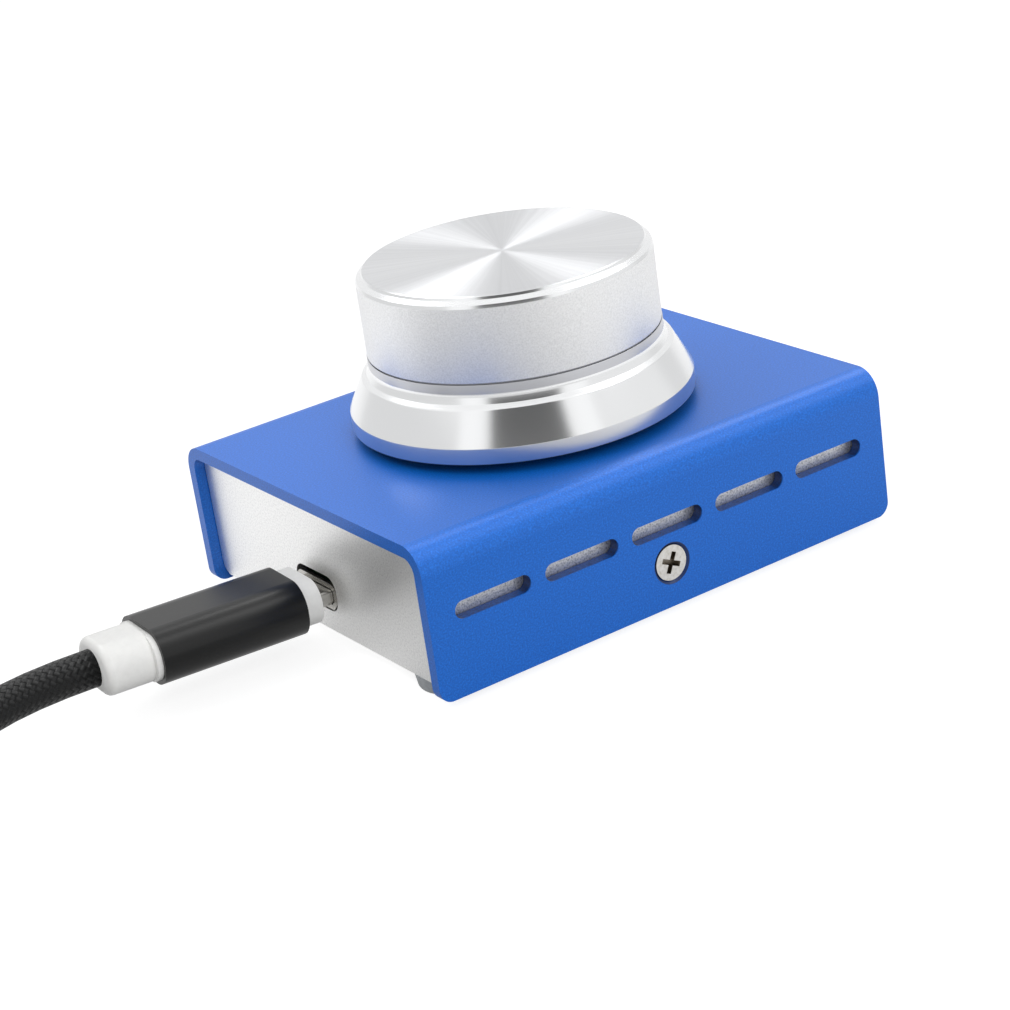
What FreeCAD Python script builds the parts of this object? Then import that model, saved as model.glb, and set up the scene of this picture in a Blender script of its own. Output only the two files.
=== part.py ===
"""USB volume control knob: a folded aluminium case with a turned knob on a push-button rotary encoder.

Millimetres, +Z up. X runs along the slotted sides of the case, and the USB port is in its -X end. The origin
is on the table, under the middle of the case.
"""

import FreeCAD, Part
import math
import operator
import os
from types import SimpleNamespace

import Sketcher

V = FreeCAD.Vector

# Name, value in millimetres (or a count), and what it is.
SIZES = [
    ("cover_length", 62.0, "cover, along X"),
    ("cover_width", 50.0, "cover, along Y"),
    ("cover_height", 17.4, "cover, from its lower edge to its top"),
    ("cover_wall", 1.4, "cover sheet thickness"),
    ("cover_bend", 3.0, "outer radius of the cover's two bends"),
    ("cover_corner", 1.6, "rounding of the side plates' lower corners"),
    ("cover_lift", 0.8, "table to the cover's lower edge"),
    ("vent_count", 5, "vents in each side"),
    ("vent_length", 9.6, "vent, end to end"),
    ("vent_width", 2.05, "vent, across"),
    ("vent_pitch", 11.45, "vent to vent"),
    ("vent_height", 9.5, "lower edge of the cover to the vents' middle"),
    ("screw_height", 5.0, "lower edge of the cover to the side screws"),
    ("screw_head", 4.05, "head diameter of the side screws"),
    ("screw_sink", 4.75, "countersink diameter in the cover"),
    ("screw_land", 0.2, "upright rim of a side screw's head"),
    ("screw_thread", 2.5, "thread diameter of the side screws"),
    ("screw_length", 6.0, "side screw, overall"),
    ("screw_cross", 2.5, "cross recess, tip to tip"),
    ("screw_cross_arm", 0.6, "width of the cross recess's arms"),
    ("screw_cross_depth", 0.9, "depth of the cross recess"),
    ("tray_inset", 1.3, "end of the cover to the tray's end panel"),
    ("tray_lift", 1.0, "lower edge of the cover to the tray's underside"),
    ("tray_wall", 1.2, "tray sheet thickness"),
    ("tray_bend", 1.5, "rounding of the tray's lower edges"),
    ("tray_flange", 11.6, "height of the tray's side flanges"),
    ("tray_gap", 0.1, "clearance between tray and cover"),
    ("foot_diameter", 8.6, "rubber foot"),
    ("foot_end_inset", 5.5, "ends of the case to a foot's centre"),
    ("foot_side_inset", 5.85, "sides of the case to a foot's centre"),
    ("foot_draft", 0.3, "narrowing of a foot towards the table"),
    ("port_gap", 0.08, "clearance beside the receptacle in the port opening"),
    ("port_height", 4.2, "port opening, along Z"),
    ("port_corner", 1.6, "port opening, corner radius"),
    ("port_offset", 0.75, "port's middle, along Y"),
    ("port_level", 5.6, "lower edge of the cover to the port opening's middle"),
    ("jack_level", 5.3, "lower edge of the cover to the receptacle's axis"),
    ("jack_room", 0.2, "clearance in front of the plug's tip"),
    ("jack_wall", 0.35, "receptacle shell thickness"),
    ("jack_flare", 0.25, "how far the receptacle's mouth flares"),
    ("jack_back", 1.0, "insulator block behind the receptacle's cavity"),
    ("tongue_width", 3.8, "receptacle tongue"),
    ("tongue_thickness", 0.6, "receptacle tongue"),
    ("tongue_level", 0.15, "receptacle's axis to the tongue's middle"),
    ("tongue_setback", 1.2, "receptacle's mouth to the tongue's tip"),
    ("contact_width", 0.3, "receptacle contact"),
    ("contact_thickness", 0.12, "receptacle contact"),
    ("contact_pitch", 0.65, "receptacle contacts"),
    ("board_end_room", 1.0, "clearance between the board and the tray's end panels"),
    ("board_side_room", 1.3, "clearance between the board and the tray's flanges"),
    ("board_thickness", 1.6, "circuit board"),
    ("board_corner", 1.5, "circuit board corner radius"),
    ("board_edge", 4.0, "edges of the board to its screws"),
    ("board_hole", 2.9, "clearance hole for a board screw"),
    ("standoff_diameter", 5.0, "round standoff"),
    ("board_screw_thread", 2.5, "board screw"),
    ("board_screw_head", 4.5, "board screw head diameter"),
    ("board_screw_rise", 1.7, "board screw head height"),
    ("board_screw_shank", 5.0, "board screw below its head"),
    ("thread_gap", 0.02, "radial gap between a screw and its thread"),
    ("encoder_side", 12.9, "encoder bracket, square"),
    ("leg_gap", 0.05, "clearance between a bracket leg and the base"),
    ("bracket_sheet", 0.8, "bracket plate thickness"),
    ("bracket_leg", 2.2, "width of a bracket leg"),
    ("bracket_leg_sheet", 0.6, "thickness of a bracket leg"),
    ("bracket_leg_reach", 1.9, "how far a leg stands out below the board"),
    ("spigot_diameter", 8.0, "bushing where it is staked in the bracket"),
    ("bushing_diameter", 7.0, "threaded bushing"),
    ("bushing_rise", 5.0, "bushing above the bracket"),
    ("shaft_diameter", 6.0, "shaft"),
    ("shaft_rise", 15.0, "top of the shaft above the bracket"),
    ("shaft_flat", 1.5, "shaft axis to its flat"),
    ("shaft_flat_length", 9.8, "length of the flat"),
    ("shaft_fit", 0.05, "radial running clearance of the shaft"),
    ("collar_diameter", 7.6, "collar that keeps the shaft in the bushing"),
    ("collar_height", 0.6, "collar"),
    ("spindle_diameter", 3.8, "spindle below the collar"),
    ("spindle_flats", 3.0, "across the spindle's two flats"),
    ("spindle_length", 3.5, "spindle below the collar"),
    ("push_travel", 0.5, "how far the shaft is pushed"),
    ("rotor_diameter", 10.0, "encoder rotor"),
    ("rotor_height", 2.2, "encoder rotor"),
    ("rotor_room", 0.2, "radial and lower clearance of the rotor"),
    ("detent_count", 20, "notches in the rotor's rim"),
    ("detent_radius", 0.4, "notch radius"),
    ("plunger_diameter", 5.6, "switch plunger"),
    ("plunger_height", 1.0, "switch plunger"),
    ("dome_diameter", 5.2, "switch dome"),
    ("dome_sheet", 0.12, "switch dome sheet"),
    ("base_floor", 0.4, "floor of the encoder base"),
    ("pin_width", 0.9, "encoder terminal"),
    ("pin_sheet", 0.35, "encoder terminal"),
    ("pin_pitch", 2.5, "encoder terminals"),
    ("pin_offset", 7.3, "encoder axis to its terminals"),
    ("pin_hole", 1.4, "hole for a terminal in the board"),
    ("washer_diameter", 12.0, "encoder washers"),
    ("washer_sheet", 0.5, "encoder washers"),
    ("panel_hole", 7.3, "hole in the cover and washers for the bushing"),
    ("nut_flats", 10.0, "panel nut across its flats"),
    ("nut_height", 2.0, "panel nut"),
    ("knob_gap", 1.0, "cover to the underside of the knob"),
    ("knob_height", 17.8, "knob, overall"),
    ("skirt_radius", 19.65, "knob's widest radius"),
    ("skirt_band", 1.9, "upright band at the foot of the skirt"),
    ("cone_radius", 17.75, "upper end of the conical skirt"),
    ("cone_height", 5.65, "underside to the upper end of the cone"),
    ("neck_radius", 16.8, "polished neck above the cone"),
    ("neck_foot", 6.05, "underside to the foot of the neck"),
    ("neck_top", 8.15, "underside to the groove above the neck"),
    ("groove_width", 0.22, "turned groove between neck and barrel"),
    ("groove_depth", 0.3, "turned groove, below the barrel"),
    ("barrel_radius", 16.75, "sand-blasted barrel of the knob"),
    ("rim_width", 0.92, "chamfer at the knob's top, across"),
    ("rim_height", 1.1, "chamfer at the knob's top, down"),
    ("edge_break", 0.15, "rounding of the knob's edges"),
    ("knob_bore", 15.1, "radius of the hollow under the knob"),
    ("knob_top", 2.4, "thickness of the knob's top"),
    ("core_gap", 0.05, "clearance between knob and insert"),
    ("core_ring", 1.7, "wall of the insert's ring"),
    ("core_ring_foot", 4.8, "underside of the knob to the insert's ring"),
    ("core_disc", 2.0, "disc of the insert"),
    ("core_hub", 5.5, "radius of the insert's hub"),
    ("core_hub_foot", 3.2, "underside of the knob to the insert's hub"),
    ("core_rib", 1.2, "rib of the insert"),
    ("core_ribs", 6, "ribs of the insert"),
    ("plug_width", 6.85, "plug shell, across"),
    ("plug_height", 1.8, "plug shell, high"),
    ("plug_bevel", 0.55, "bevel of the plug's lower corners"),
    ("plug_round", 0.4, "rounding of the plug's upper corners"),
    ("plug_wall", 0.25, "plug shell thickness"),
    ("plug_fit", 0.1, "clearance between plug and receptacle"),
    ("plug_reach", 4.8, "plug shell inside the receptacle"),
    ("plug_root", 0.4, "plug shell moulded into the collar"),
    ("plug_yaw", 2.0, "degrees that the grip leans to +Y"),
    ("plug_pitch", 1.5, "degrees that the grip leans up"),
    ("collar_start", 1.75, "mouth of the receptacle to the white collar"),
    ("collar_width", 9.0, "white collar, across"),
    ("collar_rise", 5.2, "white collar, high"),
    ("collar_corner", 2.4, "white collar, corner radius"),
    ("sleeve_start", 3.95, "mouth of the receptacle to the sleeve"),
    ("sleeve_length", 17.35, "plug sleeve"),
    ("sleeve_width", 10.6, "plug sleeve, across"),
    ("sleeve_height", 6.3, "plug sleeve, high"),
    ("sleeve_corner", 2.95, "plug sleeve, corner radius"),
    ("sleeve_wall", 0.45, "plug sleeve wall"),
    ("sleeve_fit", 0.05, "clearance between sleeve and moulding"),
    ("lip", 0.6, "moulding that shows behind the sleeve"),
    ("relief_length", 5.3, "strain relief"),
    ("relief_width", 8.2, "strain relief, across"),
    ("relief_height", 5.8, "strain relief, high"),
    ("relief_corner", 2.75, "strain relief, corner radius"),
    ("relief_round", 0.8, "rounding of the strain relief's end"),
    ("cord_diameter", 4.2, "braided cord"),
    ("host_width", 15.6, "full-size plug's sleeve, across"),
    ("host_height", 7.6, "full-size plug's sleeve, high"),
    ("host_corner", 2.6, "full-size plug's sleeve, corner radius"),
    ("host_collar", 2.2, "full-size plug's collar in front of the sleeve"),
    ("host_shell_width", 12.0, "full-size plug's metal shell"),
    ("host_shell_height", 4.5, "full-size plug's metal shell"),
    ("host_shell_wall", 0.3, "full-size plug's metal shell"),
    ("host_shell_length", 12.2, "full-size plug's shell in front of its collar"),
    ("host_window", 2.2, "latch window in the shell, square"),
    ("host_insulator", 1.9, "thickness of the contact block"),
    ("coil_inner_radius", 14.4, "inside of the coiled cord"),
    ("coil_outer_radius", 31.5, "outside of the coiled cord"),
    ("coil_height", 8.5, "two layers of coiled cord"),
    ("tie_width", 6.0, "strap round the coil"),
    ("tie_sheet", 0.5, "strap round the coil"),
    ("chip_length", 9.9, "controller chip"),
    ("chip_width", 3.9, "controller chip"),
    ("chip_height", 1.4, "controller chip"),
    ("lead_pitch", 1.27, "controller chip leads"),
    ("lead_count", 8, "leads along one side of the chip"),
    ("lead_width", 0.42, "controller chip lead"),
    ("lead_sheet", 0.2, "controller chip lead"),
    ("lead_reach", 1.05, "how far a lead stands out of the chip"),
    ("crystal_length", 10.8, "crystal can"),
    ("crystal_width", 4.5, "crystal can"),
    ("crystal_height", 3.5, "crystal can"),
    ("capacitor_diameter", 5.0, "electrolytic capacitor"),
    ("capacitor_height", 6.0, "electrolytic capacitor"),
    ("resistor_length", 2.0, "chip resistor"),
    ("resistor_width", 1.25, "chip resistor"),
    ("resistor_height", 0.5, "chip resistor"),
    ("resistor_pitch", 2.6, "chip resistors"),
    ("resistor_count", 4, "chip resistors in their row"),
]

# Where the parts stand on the board, in its own plan.
CHIP_AT = (16.0, -9.0)
CRYSTAL_AT = (16.0, 7.0)
CAPACITORS_AT = (-15.0, 10.0)
CAPACITOR_PITCH = 7.0
RESISTORS_AT = (-18.0, -11.0)

# How far the side screws' cross recesses are turned, in degrees.
SCREW_TURN = -25.0

# The cord goes straight on from the strain relief, then to the coil, whose middle is given.
CORD_STRAIGHT = 12.0
CORD_LEAD = [(-79.6, -3.3, 4.8), (-88.2, -9.0, 2.8), (-97.3, -10.6, 2.6), (-105.7, -9.1, 2.6)]
COIL_AT = (-101.6, 20.0)
# The last stretch, from the coil to the full-size plug, and the plug's cord end.
CORD_TAIL = [
    (-121.4, -1.7, 6.8),
    (-130.4, 6.5, 8.1),
    (-133.4, 18.5, 10.4),
    (-128.9, 30.2, 12.2),
    (-118.4, 37.5, 12.8),
]
HOST_PLUG_AT = (-105.0, 37.5)

ROLES = {"XY": "XY_Plane", "XZ": "XZ_Plane", "YZ": "YZ_Plane", "X": "X_Axis", "Y": "Y_Axis", "Z": "Z_Axis"}
OPERATIONS = {"+": operator.add, "-": operator.sub, "*": operator.mul, "/": operator.truediv}


# ---------------------------------------------------------------- sizes


class Size:
    """A number together with the expression that gives it from the sheet of sizes."""

    def __init__(self, value, text):
        self.value = value
        self.text = text

    def __add__(self, other):
        return join(self, "+", other)

    def __radd__(self, other):
        return join(other, "+", self)

    def __sub__(self, other):
        return join(self, "-", other)

    def __rsub__(self, other):
        return join(other, "-", self)

    def __mul__(self, other):
        return join(self, "*", other)

    def __rmul__(self, other):
        return join(other, "*", self)

    def __truediv__(self, other):
        return join(self, "/", other)

    def __neg__(self):
        return join(0, "-", self)


def as_size(number):
    """A plain number as a Size, so that both can be worked with alike."""
    return number if isinstance(number, Size) else Size(float(number), f"({float(number)})")


def join(left, sign, right):
    """Two sizes joined by +, -, * or /."""
    left, right = as_size(left), as_size(right)
    return Size(OPERATIONS[sign](left.value, right.value), f"({left.text} {sign} {right.text})")


def write_sheet(document):
    """The spreadsheet of sizes, and the sizes by name."""
    sheet = document.addObject("Spreadsheet::Sheet", "sizes")
    for row, (name, value, meaning) in enumerate(SIZES, start=1):
        sheet.set(f"A{row}", meaning)
        sheet.set(f"B{row}", str(value))
        sheet.setAlias(f"B{row}", name)
    document.recompute()
    return SimpleNamespace(**{name: Size(float(sheet.get(name)), f"sizes.{name}") for name, _, _ in SIZES})


def bind(thing, prop, size):
    """Binds a property to a size of the sheet."""
    thing.setExpression(prop, as_size(size).text)


DOC = FreeCAD.newDocument("volume_knob")
S = write_sheet(DOC)


# ---------------------------------------------------------------- sketches


def origin_of(body, name):
    """One of a body's own origin planes or axes, such as XY or Z."""
    return next(f for f in body.Origin.OriginFeatures if f.Role == ROLES[name])


def new_body(label):
    """An empty body with its own label."""
    body = DOC.addObject("PartDesign::Body", label)
    body.Label = label
    return body


def sketch_on(body, plane, lift=0):
    """An empty sketch on one of the body's planes, lifted along the plane's normal."""
    sketch = body.newObject("Sketcher::SketchObject", f"{body.Label}_sketch")
    sketch.AttachmentSupport = (origin_of(body, plane), [""])
    sketch.MapMode = "FlatFace"
    bind(sketch, "AttachmentOffset.Base.z", lift)
    return sketch


def constrain(sketch, kind, *what, size=None):
    """Adds one constraint, bound to a size where it has one."""
    if size is None:
        sketch.addConstraint(Sketcher.Constraint(kind, *what))
        return
    size = as_size(size)
    index = sketch.addConstraint(Sketcher.Constraint(kind, *what, size.value))
    sketch.setExpression(f"Constraints[{index}]", size.text)


def pin_point(sketch, geometry, position, x, y):
    """Holds a point of the sketch at a place measured from its origin."""
    constrain(sketch, "DistanceX", -1, 1, geometry, position, size=x)
    constrain(sketch, "DistanceY", -1, 1, geometry, position, size=y)


def circle(sketch, x, y, diameter):
    """A full circle."""
    x, y, radius = as_size(x), as_size(y), as_size(diameter) / 2
    geometry = Part.Circle(V(x.value, y.value, 0), V(0, 0, 1), radius.value)
    index = sketch.addGeometry(geometry, False)
    pin_point(sketch, index, 3, x, y)
    constrain(sketch, "Radius", index, size=radius)


def outline(sketch, corners):
    """A closed outline of straight lines. A corner is (x, y), or (x, y, radius) where it is rounded."""
    corners = [tuple(as_size(c) for c in corner) for corner in corners]
    count = len(corners)
    at = [V(c[0].value, c[1].value, 0) for c in corners]
    cuts = []
    for i, corner in enumerate(corners):
        back, ahead = (at[i - 1] - at[i]).normalize(), (at[(i + 1) % count] - at[i]).normalize()
        radius = corner[2].value if len(corner) == 3 else 0.0
        half = back.getAngle(ahead) / 2
        cuts.append((back, ahead, radius, radius / math.tan(half), half))
    lines = []
    for i in range(count):
        after = (i + 1) % count
        start = at[i] + cuts[i][1] * cuts[i][3]
        end = at[after] + cuts[after][0] * cuts[after][3]
        lines.append(sketch.addGeometry(Part.LineSegment(start, end), False))
    for i, corner in enumerate(corners):
        back, ahead, radius, _, half = cuts[i]
        before, after = lines[i - 1], lines[i]
        if radius == 0.0:
            constrain(sketch, "Coincident", before, 2, after, 1)
            pin_point(sketch, after, 1, corner[0], corner[1])
            continue
        point = sketch.addGeometry(Part.Point(at[i]), True)
        pin_point(sketch, point, 1, corner[0], corner[1])
        constrain(sketch, "PointOnObject", point, 1, before)
        constrain(sketch, "PointOnObject", point, 1, after)
        round_corner(sketch, at[i], back, ahead, radius, half, before, after)
        constrain(sketch, "Radius", sketch.GeometryCount - 1, size=corner[2])


def round_corner(sketch, corner, back, ahead, radius, half, before, after):
    """The arc that rounds one corner of an outline, tangent to its two lines."""
    centre = corner + (back + ahead).normalize() * (radius / math.sin(half))
    ends = [corner + side * (radius / math.tan(half)) - centre for side in (back, ahead)]
    angles = [math.atan2(end.y, end.x) for end in ends]
    left_turn = back.cross(ahead).z < 0
    first, last = angles if left_turn else reversed(angles)
    if last < first:
        last += 2 * math.pi
    arc = sketch.addGeometry(Part.ArcOfCircle(Part.Circle(centre, V(0, 0, 1), radius), first, last), False)
    constrain(sketch, "Tangent", before, 2, arc, 1 if left_turn else 2)
    constrain(sketch, "Tangent", arc, 2 if left_turn else 1, after, 1)


def rectangle(sketch, width, height, x=0, y=0, corner=None):
    """A rectangle about (x, y), with rounded corners where a radius is given."""
    rest = () if corner is None else (corner,)
    half_x, half_y = as_size(width) / 2, as_size(height) / 2
    outline(
        sketch,
        [
            (x - half_x, y - half_y, *rest),
            (x + half_x, y - half_y, *rest),
            (x + half_x, y + half_y, *rest),
            (x - half_x, y + half_y, *rest),
        ],
    )


def stadium(sketch, length, width, x=0, y=0):
    """A slot with round ends, along the sketch's x."""
    x, y, radius = as_size(x), as_size(y), as_size(width) / 2
    reach = as_size(length) / 2 - radius
    up, quarter = V(0, 0, 1), math.pi / 2
    middles = [V(x.value - reach.value, y.value, 0), V(x.value + reach.value, y.value, 0)]
    rings = [Part.Circle(middle, up, radius.value) for middle in middles]
    rise = V(0, radius.value, 0)
    left = sketch.addGeometry(Part.ArcOfCircle(rings[0], quarter, 3 * quarter))
    right = sketch.addGeometry(Part.ArcOfCircle(rings[1], -quarter, quarter))
    low = sketch.addGeometry(Part.LineSegment(middles[0] - rise, middles[1] - rise))
    high = sketch.addGeometry(Part.LineSegment(middles[1] + rise, middles[0] + rise))
    for first, second in ((left, low), (low, right), (right, high), (high, left)):
        constrain(sketch, "Tangent", first, 2, second, 1)
    constrain(sketch, "Radius", left, size=radius)
    pin_point(sketch, left, 3, x - reach, y)
    pin_point(sketch, right, 3, x + reach, y)


def flat_sided(sketch, radius, flat):
    """A circle about the origin with one flat, facing +x."""
    radius, flat = as_size(radius), as_size(flat)
    angle = math.acos(flat.value / radius.value)
    ring = Part.Circle(V(0, 0, 0), V(0, 0, 1), radius.value)
    arc = sketch.addGeometry(Part.ArcOfCircle(ring, angle, 2 * math.pi - angle))
    side = math.sqrt(radius.value**2 - flat.value**2)
    line = sketch.addGeometry(Part.LineSegment(V(flat.value, -side, 0), V(flat.value, side, 0)))
    constrain(sketch, "Coincident", arc, 3, -1, 1)
    constrain(sketch, "Coincident", arc, 2, line, 1)
    constrain(sketch, "Coincident", line, 2, arc, 1)
    constrain(sketch, "Vertical", line)
    constrain(sketch, "Radius", arc, size=radius)
    constrain(sketch, "DistanceX", -1, 1, line, 1, size=flat)


def connector_outline(sketch, grow=0):
    """The plug's section, with its lower corners bevelled, grown by a clearance or a wall all round."""
    half_x, half_y = S.plug_width / 2 + grow, S.plug_height / 2 + grow
    slant = S.plug_bevel + grow * (2 - math.sqrt(2))
    outline(
        sketch,
        [
            (-half_x + slant, -half_y),
            (half_x - slant, -half_y),
            (half_x, -half_y + slant),
            (half_x, half_y, S.plug_round + grow),
            (-half_x, half_y, S.plug_round + grow),
            (-half_x, -half_y + slant),
        ],
    )


# ---------------------------------------------------------------- features


def feature(body, kind, sketch):
    """A sketch-based feature of the body, on top of what the body holds already."""
    made = body.newObject(f"PartDesign::{kind}", f"{body.Label}_{kind.lower()}")
    made.Profile = sketch
    sketch.Visibility = False
    return made


def pad(body, sketch, length, symmetric=False, backwards=False):
    """Material along the sketch's normal."""
    made = feature(body, "Pad", sketch)
    made.SideType = "Symmetric" if symmetric else "One side"
    made.Reversed = backwards
    bind(made, "Length", length)
    return made


def pocket(body, sketch, depth=None, forwards=False):
    """A cut against the sketch's normal, or right through both ways where it has no depth."""
    made = feature(body, "Pocket", sketch)
    if depth is None:
        made.Type = "ThroughAll"
        made.SideType = "Symmetric"
    else:
        bind(made, "Length", depth)
        made.Reversed = forwards
    return made


def turn(body, sketch, kind="Revolution"):
    """The sketch turned right round its own vertical axis, as material or as a Groove."""
    made = feature(body, kind, sketch)
    made.ReferenceAxis = (sketch, ["V_Axis"])
    made.Angle = 360
    return made


def repeat_round(body, features, count):
    """The features, so many times round Z."""
    made = body.newObject("PartDesign::PolarPattern", f"{body.Label}_pattern")
    made.Originals = features
    made.Axis = (origin_of(body, "Z"), [""])
    made.Angle = 360
    bind(made, "Occurrences", count)
    body.Tip = made
    return made


def repeat_along(body, features, axis, pitch, count):
    """The features, so many times along an axis."""
    made = body.newObject("PartDesign::LinearPattern", f"{body.Label}_pattern")
    made.Originals = features
    made.Direction = (origin_of(body, axis), [""])
    made.Mode = "Spacing"
    bind(made, "Offset", pitch)
    bind(made, "Occurrences", count)
    body.Tip = made
    return made


def mirror(body, features, plane):
    """The features and their mirror image."""
    made = body.newObject("PartDesign::Mirrored", f"{body.Label}_mirror")
    made.Originals = features
    made.MirrorPlane = (origin_of(body, plane), [""])
    body.Tip = made
    return made


def round_edges(body, radius, wanted):
    """Rounds the edges of the body's last feature that the test picks."""
    DOC.recompute()
    base = body.Tip
    names = [f"Edge{i}" for i, edge in enumerate(base.Shape.Edges, start=1) if wanted(edge)]
    made = body.newObject("PartDesign::Fillet", f"{body.Label}_fillet")
    made.Base = (base, names)
    bind(made, "Radius", radius)
    body.Tip = made
    return made


def place(body, x=0, y=0, z=0):
    """Moves a body to its place, bound to the sizes."""
    for axis, size in (("x", x), ("y", y), ("z", z)):
        bind(body, f"Placement.Base.{axis}", size)
    return body


# ---------------------------------------------------------------- levels above the table

COVER_TOP = S.cover_lift + S.cover_height
COVER_INSIDE = COVER_TOP - S.cover_wall
TRAY_UNDER = S.cover_lift + S.tray_lift
TRAY_FLOOR = TRAY_UNDER + S.tray_wall
TRAY_LENGTH = S.cover_length - 2 * S.tray_inset
TRAY_WIDTH = S.cover_width - 2 * (S.cover_wall + S.tray_gap)
JACK_AXIS = S.cover_lift + S.jack_level
JACK_HALF = S.plug_height / 2 + S.plug_fit + S.jack_wall
JACK_DEPTH = S.plug_reach + S.jack_room + S.jack_back
PORT_WIDTH = S.plug_width + 2 * (S.plug_fit + S.jack_wall + S.jack_flare + S.port_gap)
BOARD_LENGTH = TRAY_LENGTH - 2 * (S.tray_wall + S.board_end_room)
BOARD_WIDTH = TRAY_WIDTH - 2 * (S.tray_wall + S.board_side_room)
BOARD_UNDER = JACK_AXIS + JACK_HALF
BOARD_TOP = BOARD_UNDER + S.board_thickness
BRACKET_TOP = COVER_INSIDE - S.washer_sheet
BRACKET_UNDER = BRACKET_TOP - S.bracket_sheet
BASE_SIDE = S.encoder_side - 2 * (S.bracket_leg_sheet + S.leg_gap)
WASHER_TOP = COVER_TOP + S.washer_sheet
COLLAR_TOP = BRACKET_UNDER - S.shaft_fit
SPINDLE_FOOT = COLLAR_TOP - S.collar_height - S.spindle_length
ROTOR_TOP = COLLAR_TOP - S.collar_height - S.push_travel - S.shaft_fit
ROTOR_UNDER = ROTOR_TOP - S.rotor_height
PLUNGER_UNDER = SPINDLE_FOOT - S.shaft_fit - S.plunger_height
HOST_AXIS = S.tie_sheet + S.coil_height + S.host_height / 2
KNOB_UNDER = COVER_TOP + S.knob_gap


# ---------------------------------------------------------------- case


def top_cover():
    """The folded cover: an inverted U with vents, side screw holes and the hole for the encoder."""
    body = new_body("top_cover")
    half, height, wall = S.cover_width / 2, S.cover_height, S.cover_wall
    fold = sketch_on(body, "YZ")
    outline(
        fold,
        [
            (-half, 0),
            (-half + wall, 0),
            (-half + wall, height - wall, S.cover_bend - wall),
            (half - wall, height - wall, S.cover_bend - wall),
            (half - wall, 0),
            (half, 0),
            (half, height, S.cover_bend),
            (-half, height, S.cover_bend),
        ],
    )
    pad(body, fold, S.cover_length, symmetric=True)
    end = S.cover_length.value / 2
    round_edges(body, S.cover_corner, lambda e: is_lower_corner(e, end))
    vents = sketch_on(body, "XZ")
    stadium(vents, S.vent_length, S.vent_width, -S.vent_pitch * (S.vent_count - 1) / 2, S.vent_height)
    repeat_along(body, [pocket(body, vents)], "X", S.vent_pitch, S.vent_count)
    sink = sketch_on(body, "XY", S.screw_height)
    wide, narrow = S.screw_sink / 2, screw_hole(S.screw_thread) / 2
    outline(
        sink,
        [
            (0, half),
            (wide, half),
            (narrow, half - (wide - narrow)),
            (narrow, half - 2 * wall),
            (0, half - 2 * wall),
        ],
    )
    mirror(body, [turn(body, sink, "Groove")], "XZ")
    hole = sketch_on(body, "XY", height)
    circle(hole, 0, 0, S.panel_hole)
    pocket(body, hole, 2 * wall)
    return place(body, z=S.cover_lift)


def is_lower_corner(edge, end):
    """Whether an edge crosses a side plate at a lower corner of the cover."""
    box = edge.BoundBox
    return box.ZMax < 1e-6 and box.XLength < 1e-6 and abs(abs(box.XMin) - end) < 1e-6


def screw_hole(thread):
    """Clearance hole for a thread."""
    return thread + 0.2


def base_tray():
    """The folded tray: floor, full-height end panels, side flanges, port and tapped holes."""
    body = new_body("base_tray")
    height = COVER_INSIDE - S.tray_gap - TRAY_UNDER
    section = sketch_on(body, "YZ")
    half, top_round = TRAY_WIDTH / 2, S.cover_bend - S.cover_wall - S.tray_gap
    outline(
        section,
        [
            (-half, 0, S.tray_bend),
            (half, 0, S.tray_bend),
            (half, height, top_round),
            (-half, height, top_round),
        ],
    )
    pad(body, section, TRAY_LENGTH, symmetric=True)
    inside = sketch_on(body, "XY", height)
    rectangle(inside, TRAY_LENGTH - 2 * S.tray_wall, TRAY_WIDTH - 2 * S.tray_wall)
    pocket(body, inside, height - S.tray_wall)
    flanges = sketch_on(body, "XZ")
    rectangle(flanges, TRAY_LENGTH - 2 * S.tray_wall, height, 0, S.tray_flange + height / 2)
    pocket(body, flanges)
    port = sketch_on(body, "YZ", -TRAY_LENGTH / 2)
    port_middle = S.port_level - S.tray_lift
    rectangle(port, PORT_WIDTH, S.port_height, S.port_offset, port_middle, S.port_corner)
    pocket(body, port, 2 * S.tray_wall, forwards=True)
    tapped = sketch_on(body, "XZ")
    circle(tapped, 0, S.screw_height - S.tray_lift, S.screw_thread + 2 * S.thread_gap)
    pocket(body, tapped)
    return place(body, z=TRAY_UNDER)


def cross_recess(sketch, x, y, degrees=0):
    """The outline of a cross recess about (x, y), turned by an angle."""
    tip, arm = S.screw_cross / 2, S.screw_cross_arm / 2
    corners = []
    for quarter in range(4):
        angle = math.radians(degrees + 90 * quarter)
        along, across = math.cos(angle), math.sin(angle)
        for ahead, aside in ((tip, -arm), (tip, arm), (arm, arm)):
            corners.append((x + ahead * along - aside * across, y + ahead * across + aside * along))
    outline(sketch, corners)


def cover_screws():
    """The two countersunk screws that hold the cover to the tray, one in each long side."""
    body = new_body("cover_screws")
    head, shank = S.screw_head / 2, S.screw_thread / 2
    face = S.cover_width / 2 - (S.screw_sink - S.screw_head) / 2 + S.screw_land
    profile = sketch_on(body, "XY")
    outline(
        profile,
        [
            (0, face),
            (head, face),
            (head, face - S.screw_land),
            (shank, face - S.screw_land - (head - shank)),
            (shank, face - S.screw_length),
            (0, face - S.screw_length),
        ],
    )
    blank = turn(body, profile)
    recess = sketch_on(body, "XZ", -face)
    cross_recess(recess, 0, 0, SCREW_TURN)
    cut = pocket(body, recess, S.screw_cross_depth, forwards=True)
    mirror(body, [blank, cut], "XZ")
    return place(body, z=S.cover_lift + S.screw_height)


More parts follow.
